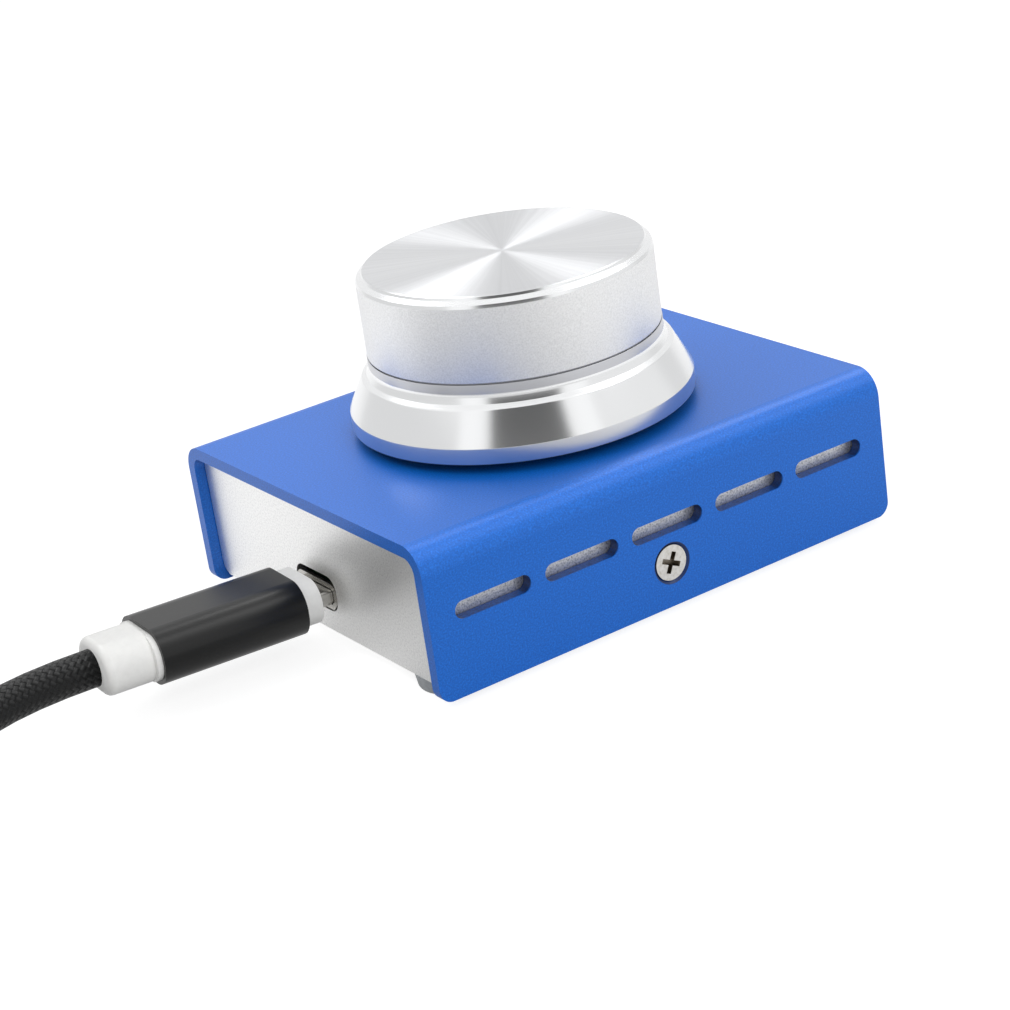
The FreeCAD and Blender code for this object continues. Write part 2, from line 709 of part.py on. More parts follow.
def foot(label, side_x, side_y):
    """A round rubber foot under one corner of the tray."""
    body = new_body(label)
    profile = sketch_on(body, "XZ")
    radius = S.foot_diameter / 2
    outline(
        profile,
        [
            (0, 0),
            (radius - S.foot_draft, 0, S.foot_draft),
            (radius, TRAY_UNDER),
            (0, TRAY_UNDER),
        ],
    )
    turn(body, profile)
    return place(
        body,
        side_x * (S.cover_length / 2 - S.foot_end_inset),
        side_y * (S.cover_width / 2 - S.foot_side_inset),
    )


# ---------------------------------------------------------------- board


def board_corners():
    """The places of the board's four screws."""
    reach_x, reach_y = BOARD_LENGTH / 2 - S.board_edge, BOARD_WIDTH / 2 - S.board_edge
    return [(side_x * reach_x, side_y * reach_y) for side_x in (-1, 1) for side_y in (-1, 1)]


def pin_places():
    """The encoder's solder terminals: three on the -X side and two on the +X side."""
    three = [(-S.pin_offset, step * S.pin_pitch) for step in (-1, 0, 1)]
    return three + [(S.pin_offset, step * S.pin_pitch) for step in (-1, 1)]


def leg_middle():
    """From the encoder's axis to the middle of a bracket leg."""
    return S.encoder_side / 2 - S.bracket_leg_sheet / 2


def circuit_board():
    """The board, with holes for its screws, the encoder's terminals and the bracket's legs."""
    body = new_body("circuit_board")
    plan = sketch_on(body, "XY")
    rectangle(plan, BOARD_LENGTH, BOARD_WIDTH, corner=S.board_corner)
    for x, y in board_corners():
        circle(plan, x, y, S.board_hole)
    for x, y in pin_places():
        circle(plan, x, y, S.pin_hole)
    for side in (-1, 1):
        rectangle(plan, S.bracket_leg + 0.4, S.bracket_leg_sheet + 0.4, 0, side * leg_middle())
    pad(body, plan, S.board_thickness)
    return place(body, z=BOARD_UNDER)


def board_standoffs():
    """The four tapped standoffs that carry the board."""
    body = new_body("board_standoffs")
    plan = sketch_on(body, "XY")
    for x, y in board_corners():
        circle(plan, x, y, S.standoff_diameter)
        circle(plan, x, y, S.board_screw_thread + 2 * S.thread_gap)
    pad(body, plan, BOARD_UNDER - TRAY_FLOOR)
    return place(body, z=TRAY_FLOOR)


def board_screws():
    """The four screws that hold the board down."""
    body = new_body("board_screws")
    shanks = sketch_on(body, "XY")
    heads = sketch_on(body, "XY")
    recesses = sketch_on(body, "XY", S.board_screw_rise)
    for x, y in board_corners():
        circle(shanks, x, y, S.board_screw_thread)
        circle(heads, x, y, S.board_screw_head)
        cross_recess(recesses, x, y)
    pad(body, shanks, S.board_screw_shank, backwards=True)
    pad(body, heads, S.board_screw_rise)
    rise = S.board_screw_rise.value
    round_edges(body, S.board_screw_rise / 3, lambda e: abs(e.BoundBox.ZMin - rise) < 1e-6)
    pocket(body, recesses, S.screw_cross_depth)
    return place(body, z=BOARD_TOP)


def controller_chip():
    """The controller: a moulded package with gull-wing leads along both sides."""
    body = new_body("controller_chip")
    seat = S.lead_sheet
    package = sketch_on(body, "XY", seat)
    rectangle(package, S.chip_length, S.chip_width)
    pad(body, package, S.chip_height)
    first = -S.lead_pitch * (S.lead_count - 1) / 2
    knee = seat + S.chip_height / 2
    side = S.chip_width / 2
    wing = sketch_on(body, "YZ", first)
    outline(
        wing,
        [
            (side, knee),
            (side + S.lead_reach / 2, knee),
            (side + S.lead_reach / 2, S.lead_sheet),
            (side + S.lead_reach, S.lead_sheet),
            (side + S.lead_reach, 0),
            (side + S.lead_reach / 2 - S.lead_sheet, 0),
            (side + S.lead_reach / 2 - S.lead_sheet, knee - S.lead_sheet),
            (side, knee - S.lead_sheet),
        ],
    )
    lead = pad(body, wing, S.lead_width, symmetric=True)
    other = sketch_on(body, "YZ", first)
    outline(
        other,
        [
            (-side, knee - S.lead_sheet),
            (-side - S.lead_reach / 2 + S.lead_sheet, knee - S.lead_sheet),
            (-side - S.lead_reach / 2 + S.lead_sheet, 0),
            (-side - S.lead_reach, 0),
            (-side - S.lead_reach, S.lead_sheet),
            (-side - S.lead_reach / 2, S.lead_sheet),
            (-side - S.lead_reach / 2, knee),
            (-side, knee),
        ],
    )
    far_lead = pad(body, other, S.lead_width, symmetric=True)
    repeat_along(body, [lead, far_lead], "X", S.lead_pitch, S.lead_count)
    return place(body, *CHIP_AT, BOARD_TOP)


def crystal():
    """The crystal's can, with the rim of its base plate."""
    body = new_body("crystal")
    rim = sketch_on(body, "XY")
    stadium(rim, S.crystal_length, S.crystal_width)
    pad(body, rim, S.crystal_height / 8)
    can = sketch_on(body, "XY")
    stadium(can, S.crystal_length - S.crystal_height / 4, S.crystal_width - S.crystal_height / 4)
    pad(body, can, S.crystal_height)
    top = S.crystal_height.value
    round_edges(body, S.crystal_height / 9, lambda e: e.BoundBox.ZMin > top - 1e-6)
    return place(body, *CRYSTAL_AT, BOARD_TOP)


def capacitors():
    """Two upright electrolytic capacitors with the groove that their seal makes."""
    body = new_body("capacitors")
    radius, height = S.capacitor_diameter / 2, S.capacitor_height
    waist, edge = radius / 8, height / 12
    profile = sketch_on(body, "XZ")
    outline(
        profile,
        [
            (0, 0),
            (radius, 0, waist),
            (radius, 2 * edge),
            (radius - waist, 3 * edge),
            (radius, 4 * edge),
            (radius, height, 2 * waist),
            (0, height),
        ],
    )
    repeat_along(body, [turn(body, profile)], "X", CAPACITOR_PITCH, 2)
    return place(body, *CAPACITORS_AT, BOARD_TOP)


def resistors():
    """A row of chip resistors."""
    body = new_body("resistors")
    plan = sketch_on(body, "XY")
    rectangle(plan, S.resistor_length, S.resistor_width)
    block = pad(body, plan, S.resistor_height)
    repeat_along(body, [block], "Y", S.resistor_pitch, S.resistor_count)
    return place(body, *RESISTORS_AT, BOARD_TOP)


# ---------------------------------------------------------------- receptacle


def place_at_jack(body):
    """Puts a body modelled about the middle of the receptacle's mouth in its place."""
    return place(body, -TRAY_LENGTH / 2, S.port_offset, JACK_AXIS)


def usb_receptacle_shell():
    """The receptacle's steel shell, flared at its mouth, with two tabs up to the board."""
    body = new_body("usb_receptacle_shell")
    inside, outside = S.plug_fit, S.plug_fit + S.jack_wall
    tube = sketch_on(body, "YZ")
    connector_outline(tube, outside)
    connector_outline(tube, inside)
    pad(body, tube, JACK_DEPTH)
    flare = sketch_on(body, "YZ")
    connector_outline(flare, outside + S.jack_flare)
    connector_outline(flare, inside)
    pad(body, flare, S.jack_wall)
    return place_at_jack(body)


def usb_receptacle_core():
    """The receptacle's insulator: the block at its back and the tongue that enters the plug."""
    body = new_body("usb_receptacle_core")
    block = sketch_on(body, "YZ", JACK_DEPTH - S.jack_back)
    connector_outline(block, S.plug_fit - S.core_gap)
    pad(body, block, S.jack_back)
    tongue = sketch_on(body, "YZ", S.tongue_setback)
    rectangle(tongue, S.tongue_width, S.tongue_thickness, 0, S.tongue_level)
    pad(body, tongue, JACK_DEPTH - S.jack_back / 2 - S.tongue_setback)
    return place_at_jack(body)


def usb_receptacle_contacts():
    """The five contacts under the receptacle's tongue."""
    body = new_body("usb_receptacle_contacts")
    under = S.tongue_level - S.tongue_thickness / 2 - S.contact_thickness
    length = JACK_DEPTH - S.jack_back - S.tongue_setback
    plan = sketch_on(body, "XY", under)
    for step in range(-2, 3):
        rectangle(plan, length, S.contact_width, S.tongue_setback + length / 2, step * S.contact_pitch)
    pad(body, plan, S.contact_thickness)
    return place_at_jack(body)


# ---------------------------------------------------------------- encoder


def encoder_base():
    """The encoder's moulded base: a well for the rotor over a smaller one for the switch."""
    body = new_body("encoder_base")
    height = BRACKET_UNDER - BOARD_TOP
    block = sketch_on(body, "XY")
    rectangle(block, BASE_SIDE, BASE_SIDE, corner=S.base_floor * 2)
    pad(body, block, height)
    well = sketch_on(body, "XY", height)
    circle(well, 0, 0, S.rotor_diameter + 2 * S.rotor_room)
    pocket(body, well, BRACKET_UNDER - ROTOR_UNDER + S.rotor_room)
    switch_well = sketch_on(body, "XY", height)
    circle(switch_well, 0, 0, S.plunger_diameter + 2 * S.rotor_room)
    pocket(body, switch_well, height - S.base_floor)
    return place(body, z=BOARD_TOP)


def encoder_bracket():
    """The steel bracket over the base, with a leg down through the board on each side."""
    body = new_body("encoder_bracket")
    plate = sketch_on(body, "XY")
    rectangle(plate, S.encoder_side, S.encoder_side, corner=S.bracket_sheet)
    circle(plate, 0, 0, S.spigot_diameter)
    pad(body, plate, S.bracket_sheet)
    leg = sketch_on(body, "XY")
    rectangle(leg, S.bracket_leg, S.bracket_leg_sheet, 0, leg_middle())
    drop = BRACKET_UNDER - BOARD_UNDER + S.bracket_leg_reach
    mirror(body, [pad(body, leg, drop, backwards=True)], "XZ")
    return place(body, z=BRACKET_UNDER)


def encoder_bushing():
    """The threaded bushing, staked in the bracket, in which the shaft turns and slides."""
    body = new_body("encoder_bushing")
    bore, spigot, thread = S.shaft_diameter / 2 + S.shaft_fit, S.spigot_diameter / 2, S.bushing_diameter / 2
    top = S.bracket_sheet + S.bushing_rise
    profile = sketch_on(body, "XZ")
    outline(
        profile,
        [
            (bore, 0),
            (spigot, 0),
            (spigot, S.bracket_sheet),
            (thread, S.bracket_sheet),
            (thread, top - S.shaft_fit * 6),
            (thread - S.shaft_fit * 6, top),
            (bore, top),
        ],
    )
    turn(body, profile)
    return place(body, z=BRACKET_UNDER)


def encoder_terminals():
    """The solder terminals: each comes out of the base and turns down through the board."""
    body = new_body("encoder_terminals")
    side, level = BASE_SIDE / 2, 2 * S.pin_sheet
    drop = BOARD_TOP - BOARD_UNDER + S.bracket_leg_reach
    feet = sketch_on(body, "XY", -drop)
    arms = sketch_on(body, "XY", level)
    for x, y in pin_places():
        out = 1 if x.value > 0 else -1
        rectangle(feet, S.pin_sheet, S.pin_width, x, y)
        reach = S.pin_offset + S.pin_sheet / 2 - side
        rectangle(arms, reach, S.pin_width, out * (side + reach / 2), y)
    pad(body, feet, drop + level + S.pin_sheet)
    pad(body, arms, S.pin_sheet)
    return place(body, z=BOARD_TOP)


def spindle_section(body, clearance):
    """Two rectangles that stand beside the spindle's flats, to be cut away, in a sketch of their own."""
    sketch = sketch_on(body, "XY")
    width = S.spindle_diameter
    for side in (-1, 1):
        rectangle(sketch, width, 2 * width, side * (S.spindle_flats / 2 + clearance + width / 2), 0)
    return sketch


def encoder_shaft():
    """The shaft: a D-shaped end for the knob, a collar that keeps it in, and a spindle with two flats."""
    body = new_body("encoder_shaft")
    spindle, collar, radius = S.spindle_diameter / 2, S.collar_diameter / 2, S.shaft_diameter / 2
    collar_under = S.spindle_length
    collar_top = collar_under + S.collar_height
    top = collar_top + S.shaft_fit + S.bracket_sheet + S.shaft_rise
    bevel = S.shaft_fit * 8
    profile = sketch_on(body, "XZ")
    outline(
        profile,
        [
            (0, 0),
            (spindle, 0),
            (spindle, collar_under),
            (collar, collar_under),
            (collar, collar_top),
            (radius, collar_top),
            (radius, top - bevel),
            (radius - bevel, top),
            (0, top),
        ],
    )
    turn(body, profile)
    pocket(body, spindle_section(body, 0), S.spindle_length, forwards=True)
    flat = sketch_on(body, "XY", top)
    rectangle(flat, radius, 4 * radius, S.shaft_flat + radius / 2, 0)
    pocket(body, flat, S.shaft_flat_length)
    return place(body, z=SPINDLE_FOOT)


def encoder_rotor():
    """The rotor: a wheel with detent notches in its rim and a bore that slides on the spindle's flats."""
    body = new_body("encoder_rotor")
    wheel = sketch_on(body, "XY")
    circle(wheel, 0, 0, S.rotor_diameter)
    pad(body, wheel, S.rotor_height)
    bore = sketch_on(body, "XY")
    width, flats = S.spindle_diameter + 2 * S.shaft_fit, S.spindle_flats + 2 * S.shaft_fit
    rectangle(bore, flats, width)
    pocket(body, bore)
    notch = sketch_on(body, "XY")
    circle(notch, S.rotor_diameter / 2, 0, 2 * S.detent_radius)
    repeat_round(body, [pocket(body, notch)], S.detent_count)
    return place(body, z=ROTOR_UNDER)


def switch_plunger():
    """The plunger between the spindle and the switch's dome, with the nub that presses the dome."""
    body = new_body("switch_plunger")
    profile = sketch_on(body, "XZ")
    radius, nub = S.plunger_diameter / 2, S.plunger_height / 4
    outline(
        profile,
        [
            (0, 0),
            (nub * 3, 0),
            (nub * 3, nub),
            (radius, nub),
            (radius, S.plunger_height),
            (0, S.plunger_height),
        ],
    )
    turn(body, profile)
    return place(body, z=PLUNGER_UNDER)


def switch_dome():
    """The snap dome on the floor of the base."""
    body = new_body("switch_dome")
    radius, sheet = S.dome_diameter / 2, S.dome_sheet
    rise = PLUNGER_UNDER - S.shaft_fit - BOARD_TOP - S.base_floor
    profile = sketch_on(body, "XZ")
    outline(
        profile,
        [
            (radius, 0),
            (radius / 3, rise - sheet),
            (0, rise - sheet),
            (0, rise),
            (radius / 3 + sheet, rise),
            (radius + sheet, 0),
        ],
    )
    turn(body, profile)
    return place(body, z=BOARD_TOP + S.base_floor)


def washer(label, level):
    """A flat washer on the bushing."""
    body = new_body(label)
    ring = sketch_on(body, "XY")
    circle(ring, 0, 0, S.washer_diameter)
    circle(ring, 0, 0, S.panel_hole)
    pad(body, ring, S.washer_sheet)
    return place(body, z=level)


def panel_nut():
    """The hexagon nut that clamps the encoder to the cover."""
    body = new_body("panel_nut")
    plan = sketch_on(body, "XY")
    across = S.nut_flats / math.sqrt(3)
    angles = [math.radians(60 * step) for step in range(6)]
    outline(plan, [(across * math.cos(a), across * math.sin(a)) for a in angles])
    circle(plan, 0, 0, S.bushing_diameter + 2 * S.thread_gap)
    pad(body, plan, S.nut_height)
    return place(body, z=WASHER_TOP)


# ---------------------------------------------------------------- knob


def knob_shell():
    """The turned knob: upright band, cone, shoulder, polished neck, groove, barrel and chamfered top."""
    body = new_body("knob_shell")
    profile = sketch_on(body, "XZ")
    fine, soft = S.edge_break, 2 * S.edge_break
    groove_floor = S.barrel_radius - S.groove_depth
    barrel_foot = S.neck_top + S.groove_width
    hollow = S.knob_height - S.knob_top
    outline(
        profile,
        [
            (S.knob_bore, 0),
            (S.skirt_radius, 0, fine),
            (S.skirt_radius, S.skirt_band, fine),
            (S.cone_radius, S.cone_height, soft),
            (S.neck_radius, S.neck_foot, soft),
            (S.neck_radius, S.neck_top),
            (groove_floor, S.neck_top),
            (groove_floor, barrel_foot),
            (S.barrel_radius, barrel_foot),
            (S.barrel_radius, S.knob_height - S.rim_height, fine),
            (S.barrel_radius - S.rim_width, S.knob_height, soft),
            (0, S.knob_height),
            (0, hollow),
            (S.knob_bore, hollow, soft),
        ],
    )
    turn(body, profile)
    return place(body, z=KNOB_UNDER)


def knob_core():
    """The moulded insert pressed into the knob: disc, hub, ring and ribs, with a D-shaped bore."""
    body = new_body("knob_core")
    outer, top = S.knob_bore - S.core_gap, S.knob_height - S.knob_top - S.core_gap
    under_disc = top - S.core_disc
    ring = outer - S.core_ring
    profile = sketch_on(body, "XZ")
    outline(
        profile,
        [
            (0, S.core_hub_foot),
            (S.core_hub, S.core_hub_foot),
            (S.core_hub, under_disc),
            (ring, under_disc),
            (ring, S.core_ring_foot),
            (outer, S.core_ring_foot),
            (outer, top, 3 * S.edge_break),
            (0, top),
        ],
    )
    turn(body, profile)
    rib_foot = S.core_ring_foot + S.core_rib
    rib = sketch_on(body, "XY", rib_foot)
    start, end = S.core_hub - S.core_rib, ring + S.core_ring / 2
    rectangle(rib, end - start, S.core_rib, (start + end) / 2, 0)
    repeat_round(body, [pad(body, rib, under_disc - rib_foot)], S.core_ribs)
    bore = sketch_on(body, "XY", S.core_hub_foot)
    flat_sided(bore, S.shaft_diameter / 2 + S.core_gap, S.shaft_flat + S.core_gap)
    bore_top = BRACKET_TOP + S.shaft_rise + 4 * S.core_gap - KNOB_UNDER
    pocket(body, bore, bore_top - S.core_hub_foot, forwards=True)
    return place(body, z=KNOB_UNDER)


# ---------------------------------------------------------------- plug and cord


def plug_shell():
    """The plug's metal shell, which slides in the receptacle."""
    body = new_body("plug_shell")
    root = -(S.collar_start + S.plug_root)
    tube = sketch_on(body, "YZ", root)
    connector_outline(tube)
    connector_outline(tube, -S.plug_wall)
    pad(body, tube, S.plug_reach - root)
    return place_at_jack(body)


def plug_insulator():
    """The block in the plug's shell, with the floor that carries its contacts under the tongue."""
    body = new_body("plug_insulator")
    root = S.jack_room - S.collar_start
    inside = -(S.plug_wall + S.core_gap / 2)
    block = sketch_on(body, "YZ", root)
    connector_outline(block, inside)
    pad(body, block, S.tongue_setback - 4 * S.core_gap - root)
    width = S.plug_width - 2 * S.plug_bevel - 2 * S.plug_wall
    low = -S.plug_height / 2 + S.plug_wall + S.core_gap / 2
    thick = 4 * S.core_gap
    shelf = sketch_on(body, "YZ")
    rectangle(shelf, width, thick, 0, low + thick / 2)
    pad(body, shelf, S.plug_reach - S.jack_room)
    return place_at_jack(body)


def tilted(body):
    """Puts a piece of the plug's grip, modelled straight out along -X, at its slight lean."""
    place_at_jack(body)
    turn_z = FreeCAD.Rotation(V(0, 0, 1), -S.plug_yaw.value)
    turn_y = FreeCAD.Rotation(V(0, 1, 0), S.plug_pitch.value)
    body.Placement.Rotation = turn_z.multiply(turn_y)
    return body


def grip_block(body, start, length, width, height, corner):
    """A rounded block of the grip, from a distance behind the mouth on outwards."""
    section = sketch_on(body, "YZ", -start)
    rectangle(section, width, height, corner=corner)
    return pad(body, section, length, backwards=True)


def plug_moulding():
    """The white moulding: collar in front of the sleeve, core inside it and lip behind it."""
    body = new_body("plug_moulding")
    grip_block(
        body, S.collar_start, S.sleeve_start - S.collar_start, S.collar_width, S.collar_rise, S.collar_corner
    )
    inset = 2 * (S.sleeve_wall + S.sleeve_fit)
    grip_block(
        body,
        S.sleeve_start,
        S.sleeve_length + S.lip,
        S.sleeve_width - inset,
        S.sleeve_height - inset,
        S.sleeve_corner - inset / 2,
    )
    return tilted(body)


def plug_sleeve():
    """The black sleeve of the plug's grip."""
    body = new_body("plug_sleeve")
    ring = sketch_on(body, "YZ", -S.sleeve_start)
    rectangle(ring, S.sleeve_width, S.sleeve_height, corner=S.sleeve_corner)
    rectangle(
        ring,
        S.sleeve_width - 2 * S.sleeve_wall,
        S.sleeve_height - 2 * S.sleeve_wall,
        corner=S.sleeve_corner - S.sleeve_wall,
    )
    pad(body, ring, S.sleeve_length, backwards=True)
    return tilted(body)


def relief_start():
    """Distance from the receptacle's mouth to the strain relief."""
    return S.sleeve_start + S.sleeve_length + S.lip


def strain_relief():
    """The white strain relief that the cord comes out of."""
    body = new_body("strain_relief")
    grip_block(body, relief_start(), S.relief_length, S.relief_width, S.relief_height, S.relief_corner)
    far = -(relief_start() + S.relief_length).value
    round_edges(body, S.relief_round, lambda e: e.BoundBox.XMax < far + 1e-6)
    return tilted(body)


def on_plug_axis(distance):
    """A point so far out along the plug's leaning axis."""
    turn_z = FreeCAD.Rotation(V(0, 0, 1), -S.plug_yaw.value)
    turn_y = FreeCAD.Rotation(V(0, 1, 0), S.plug_pitch.value)
    mouth = V(-TRAY_LENGTH.value / 2, S.port_offset.value, JACK_AXIS.value)
    return mouth + turn_z.multiply(turn_y).multVec(V(-distance, 0, 0))


def routed_tube(label, points):
    """A cord's tube along straight runs joined by arcs almost as large as the runs allow."""
    radius = S.cord_diameter.value / 2
    edges, here = [], points[0]
    for before, corner, after in zip(points, points[1:], points[2:]):
        back, ahead = before - corner, after - corner
        half = back.getAngle(ahead) / 2
        turned = math.pi / 2 - half
        reach = 0.45 * min(back.Length, ahead.Length)
        bend = reach / math.tan(turned)
        print(f"{label}: bend radius {bend:.1f} mm, {bend / (2 * radius):.1f} diameters")
        start, end = corner + back.normalize() * reach, corner + ahead.normalize() * reach
        middle_way = (back + ahead).normalize()
        middle = corner + middle_way * (bend / math.cos(turned) - bend)
        edges += [Part.LineSegment(here, start).toShape(), Part.Arc(start, middle, end).toShape()]
        here = end
    edges.append(Part.LineSegment(here, points[-1]).toShape())
    path = Part.Wire(edges)
    ring = Part.Wire(Part.Circle(points[0], points[1] - points[0], radius).toShape())
    tube = path.makePipeShell([ring], True, False)
    expected = math.pi * radius**2 * path.Length
    print(f"{label}: length {path.Length:.1f} mm, volume off by {100 * (tube.Volume / expected - 1):.3f} %")
    made = DOC.addObject("Part::Feature", label)
    made.Label = label
    made.Shape = tube
    made.Placement = FreeCAD.Placement()
    return made


def cord():
    """The cord from the strain relief to the coil."""
    exit_at = (relief_start() + S.relief_length).value
    straight = [on_plug_axis(exit_at), on_plug_axis(exit_at + CORD_STRAIGHT)]
    return routed_tube("cord", straight + [V(*point) for point in CORD_LEAD])


def cord_tail():
    """The last stretch of the cord, from the coil to the full-size plug."""
    end = V(*HOST_PLUG_AT, HOST_AXIS.value)
    return routed_tube("cord_tail", [V(*point) for point in CORD_TAIL] + [end])


def cord_coil():
    """The put-away length of the cord, as the ring that its turns fill."""
    body = new_body("cord_coil")
    section = sketch_on(body, "XZ")
    across = S.coil_outer_radius - S.coil_inner_radius
    middle, level = (S.coil_outer_radius + S.coil_inner_radius) / 2, S.coil_height / 2
    rectangle(section, across, S.coil_height, middle, level, 0.45 * S.cord_diameter)
    turn(body, section)
    return place(body, *COIL_AT, S.tie_sheet)


def cord_tie():
    """The strap round the coil's bundle."""
    body = new_body("cord_tie")
    sheet = S.tie_sheet
    loop = sketch_on(body, "XZ")
    across = S.coil_outer_radius - S.coil_inner_radius + 2 * sheet
    middle, level = (S.coil_outer_radius + S.coil_inner_radius) / 2, S.coil_height / 2 + sheet
    rectangle(loop, across + 2 * sheet, S.coil_height + 2 * sheet, middle, level, 2 * sheet)
    rectangle(loop, across, S.coil_height, middle, level, sheet)
    pad(body, loop, S.tie_width, symmetric=True)
    return place(body, *COIL_AT, 0)


# ---------------------------------------------------------------- full-size plug


def place_host(body):
    """Puts a body modelled forwards from the cord's end in its place on the coil."""
    return place(body, *HOST_PLUG_AT, HOST_AXIS)


def host_block(body, start, length, width, height, corner=None):
    """A block of the full-size plug, from a distance in front of the cord's end on forwards."""
    section = sketch_on(body, "YZ", start)
    rectangle(section, width, height, corner=corner)
    return pad(body, section, length)


def host_collar_start():
    """Distance from the cord's end to the collar in front of the sleeve."""
    return S.relief_length + S.lip + S.sleeve_length


def host_strain_relief():
    """The full-size plug's white strain relief."""
    body = new_body("host_strain_relief")
    host_block(body, 0, S.relief_length, S.relief_width, S.relief_height, S.relief_corner)
    round_edges(body, S.relief_round, lambda e: e.BoundBox.XMax < 1e-6)
    return place_host(body)


def host_plug_moulding():
    """The full-size plug's white moulding, with its lip and its collar."""
    body = new_body("host_plug_moulding")
    inset = 2 * (S.sleeve_wall + S.sleeve_fit)
    host_block(
        body,
        S.relief_length,
        S.lip + S.sleeve_length + S.host_collar,
        S.host_width - inset,
        S.host_height - inset,
        S.host_corner - inset / 2,
    )
    return place_host(body)


def host_plug_sleeve():
    """The full-size plug's black sleeve."""
    body = new_body("host_plug_sleeve")
    ring = sketch_on(body, "YZ", S.relief_length + S.lip)
    inset = 2 * S.sleeve_wall
    rectangle(ring, S.host_width, S.host_height, corner=S.host_corner)
    rectangle(ring, S.host_width - inset, S.host_height - inset, corner=S.host_corner - S.sleeve_wall)
    pad(body, ring, S.sleeve_length)
    return place_host(body)


def host_plug_shell():
    """The full-size plug's metal shell with its two latch windows."""
    body = new_body("host_plug_shell")
    front = host_collar_start() + S.host_collar
    tube = sketch_on(body, "YZ", front)
    rectangle(tube, S.host_shell_width, S.host_shell_height, corner=S.host_shell_wall * 2)
    inside = 2 * S.host_shell_wall
    rectangle(tube, S.host_shell_width - inside, S.host_shell_height - inside, corner=S.host_shell_wall)
    pad(body, tube, S.host_shell_length)
    windows = sketch_on(body, "XY", S.host_shell_height)
    middle = front + S.host_shell_length / 2
    for side in (-1, 1):
        rectangle(windows, S.host_window, S.host_window, middle, side * S.host_shell_width / 4)
    pocket(body, windows, S.host_shell_height)
    return place_host(body)


def host_plug_insulator():
    """The contact block in the full-size plug's shell."""
    body = new_body("host_plug_insulator")
    inside = 2 * (S.host_shell_wall + S.core_gap)
    section = sketch_on(body, "YZ", host_collar_start() + S.host_collar)
    low = -S.host_shell_height / 2 + inside / 2
    width, middle = S.host_shell_width - inside, low + S.host_insulator / 2
    rectangle(section, width, S.host_insulator, 0, middle, S.host_shell_wall)
    pad(body, section, S.host_shell_length - S.host_shell_wall)
    return place_host(body)


# ---------------------------------------------------------------- assembly


def build():
    """Every piece of the object, in the order of its assembly."""
    feet = [
        foot(f"foot_{end}_{side}", 1 if side == "right" else -1, -1 if end == "front" else 1)
        for end in ("front", "back")
        for side in ("left", "right")
    ]
    case = [base_tray(), *feet, top_cover(), cover_screws()]
    board = [board_standoffs(), circuit_board(), board_screws(), controller_chip(), crystal(), capacitors()]
    board += [resistors(), usb_receptacle_shell(), usb_receptacle_core(), usb_receptacle_contacts()]
    encoder = [encoder_base(), encoder_bracket(), encoder_bushing(), encoder_terminals(), switch_dome()]
    encoder += [switch_plunger(), encoder_rotor(), encoder_shaft()]
    clamp = [washer("seating_washer", BRACKET_TOP), washer("panel_washer", COVER_TOP), panel_nut()]
    knob = [knob_core(), knob_shell()]
    plug = [plug_shell(), plug_insulator(), plug_moulding(), plug_sleeve(), strain_relief()]
    lead = [cord(), cord_coil(), cord_tie(), cord_tail()]
    host = [host_strain_relief(), host_plug_moulding(), host_plug_sleeve()]
    host += [host_plug_shell(), host_plug_insulator()]
    return case + board + encoder + clamp + knob + plug + lead + host


def check(pieces):
    """Stops if a feature failed, a piece isn't a sound solid, or a cut removed nothing."""
    for thing in DOC.Objects:
        if "Invalid" in thing.State or "Error" in thing.State:
            raise RuntimeError(f"{thing.Label} failed: {thing.State}")
        if thing.TypeId in ("PartDesign::Pocket", "PartDesign::Groove"):
            if thing.BaseFeature.Shape.Volume - thing.Shape.Volume < 1e-6:
                raise RuntimeError(f"{thing.Label} cuts nothing")
    for piece in pieces:
        if piece.Shape.isNull() or not piece.Shape.isValid() or not piece.Shape.Solids:
            raise RuntimeError(f"{piece.Label} isn't a sound solid")


def main():
    """Builds the document, checks it and writes one STEP file for each piece."""
    pieces = build()
    DOC.recompute()
    check(pieces)
    os.makedirs("parts", exist_ok=True)
    for piece in pieces:
        piece.Shape.exportStep(f"parts/{piece.Label}.step")
    print(f"{len(pieces)} pieces, {sum(len(piece.Shape.Solids) for piece in pieces)} solids")


main()
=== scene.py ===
"""Looks of a USB volume control: its finishes, turned knob, plugs and braided lead, and a plain studio.

Blender units are metres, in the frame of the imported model: Z up, X along the case's slotted sides, and the
USB port at the -X end. Sizes in the classes are millimetres.
"""

import logging
import math
from dataclasses import dataclass, replace
from enum import IntEnum
from functools import lru_cache
from typing import Iterable, Sequence

import bmesh
import bpy
from mathutils import Matrix, Vector

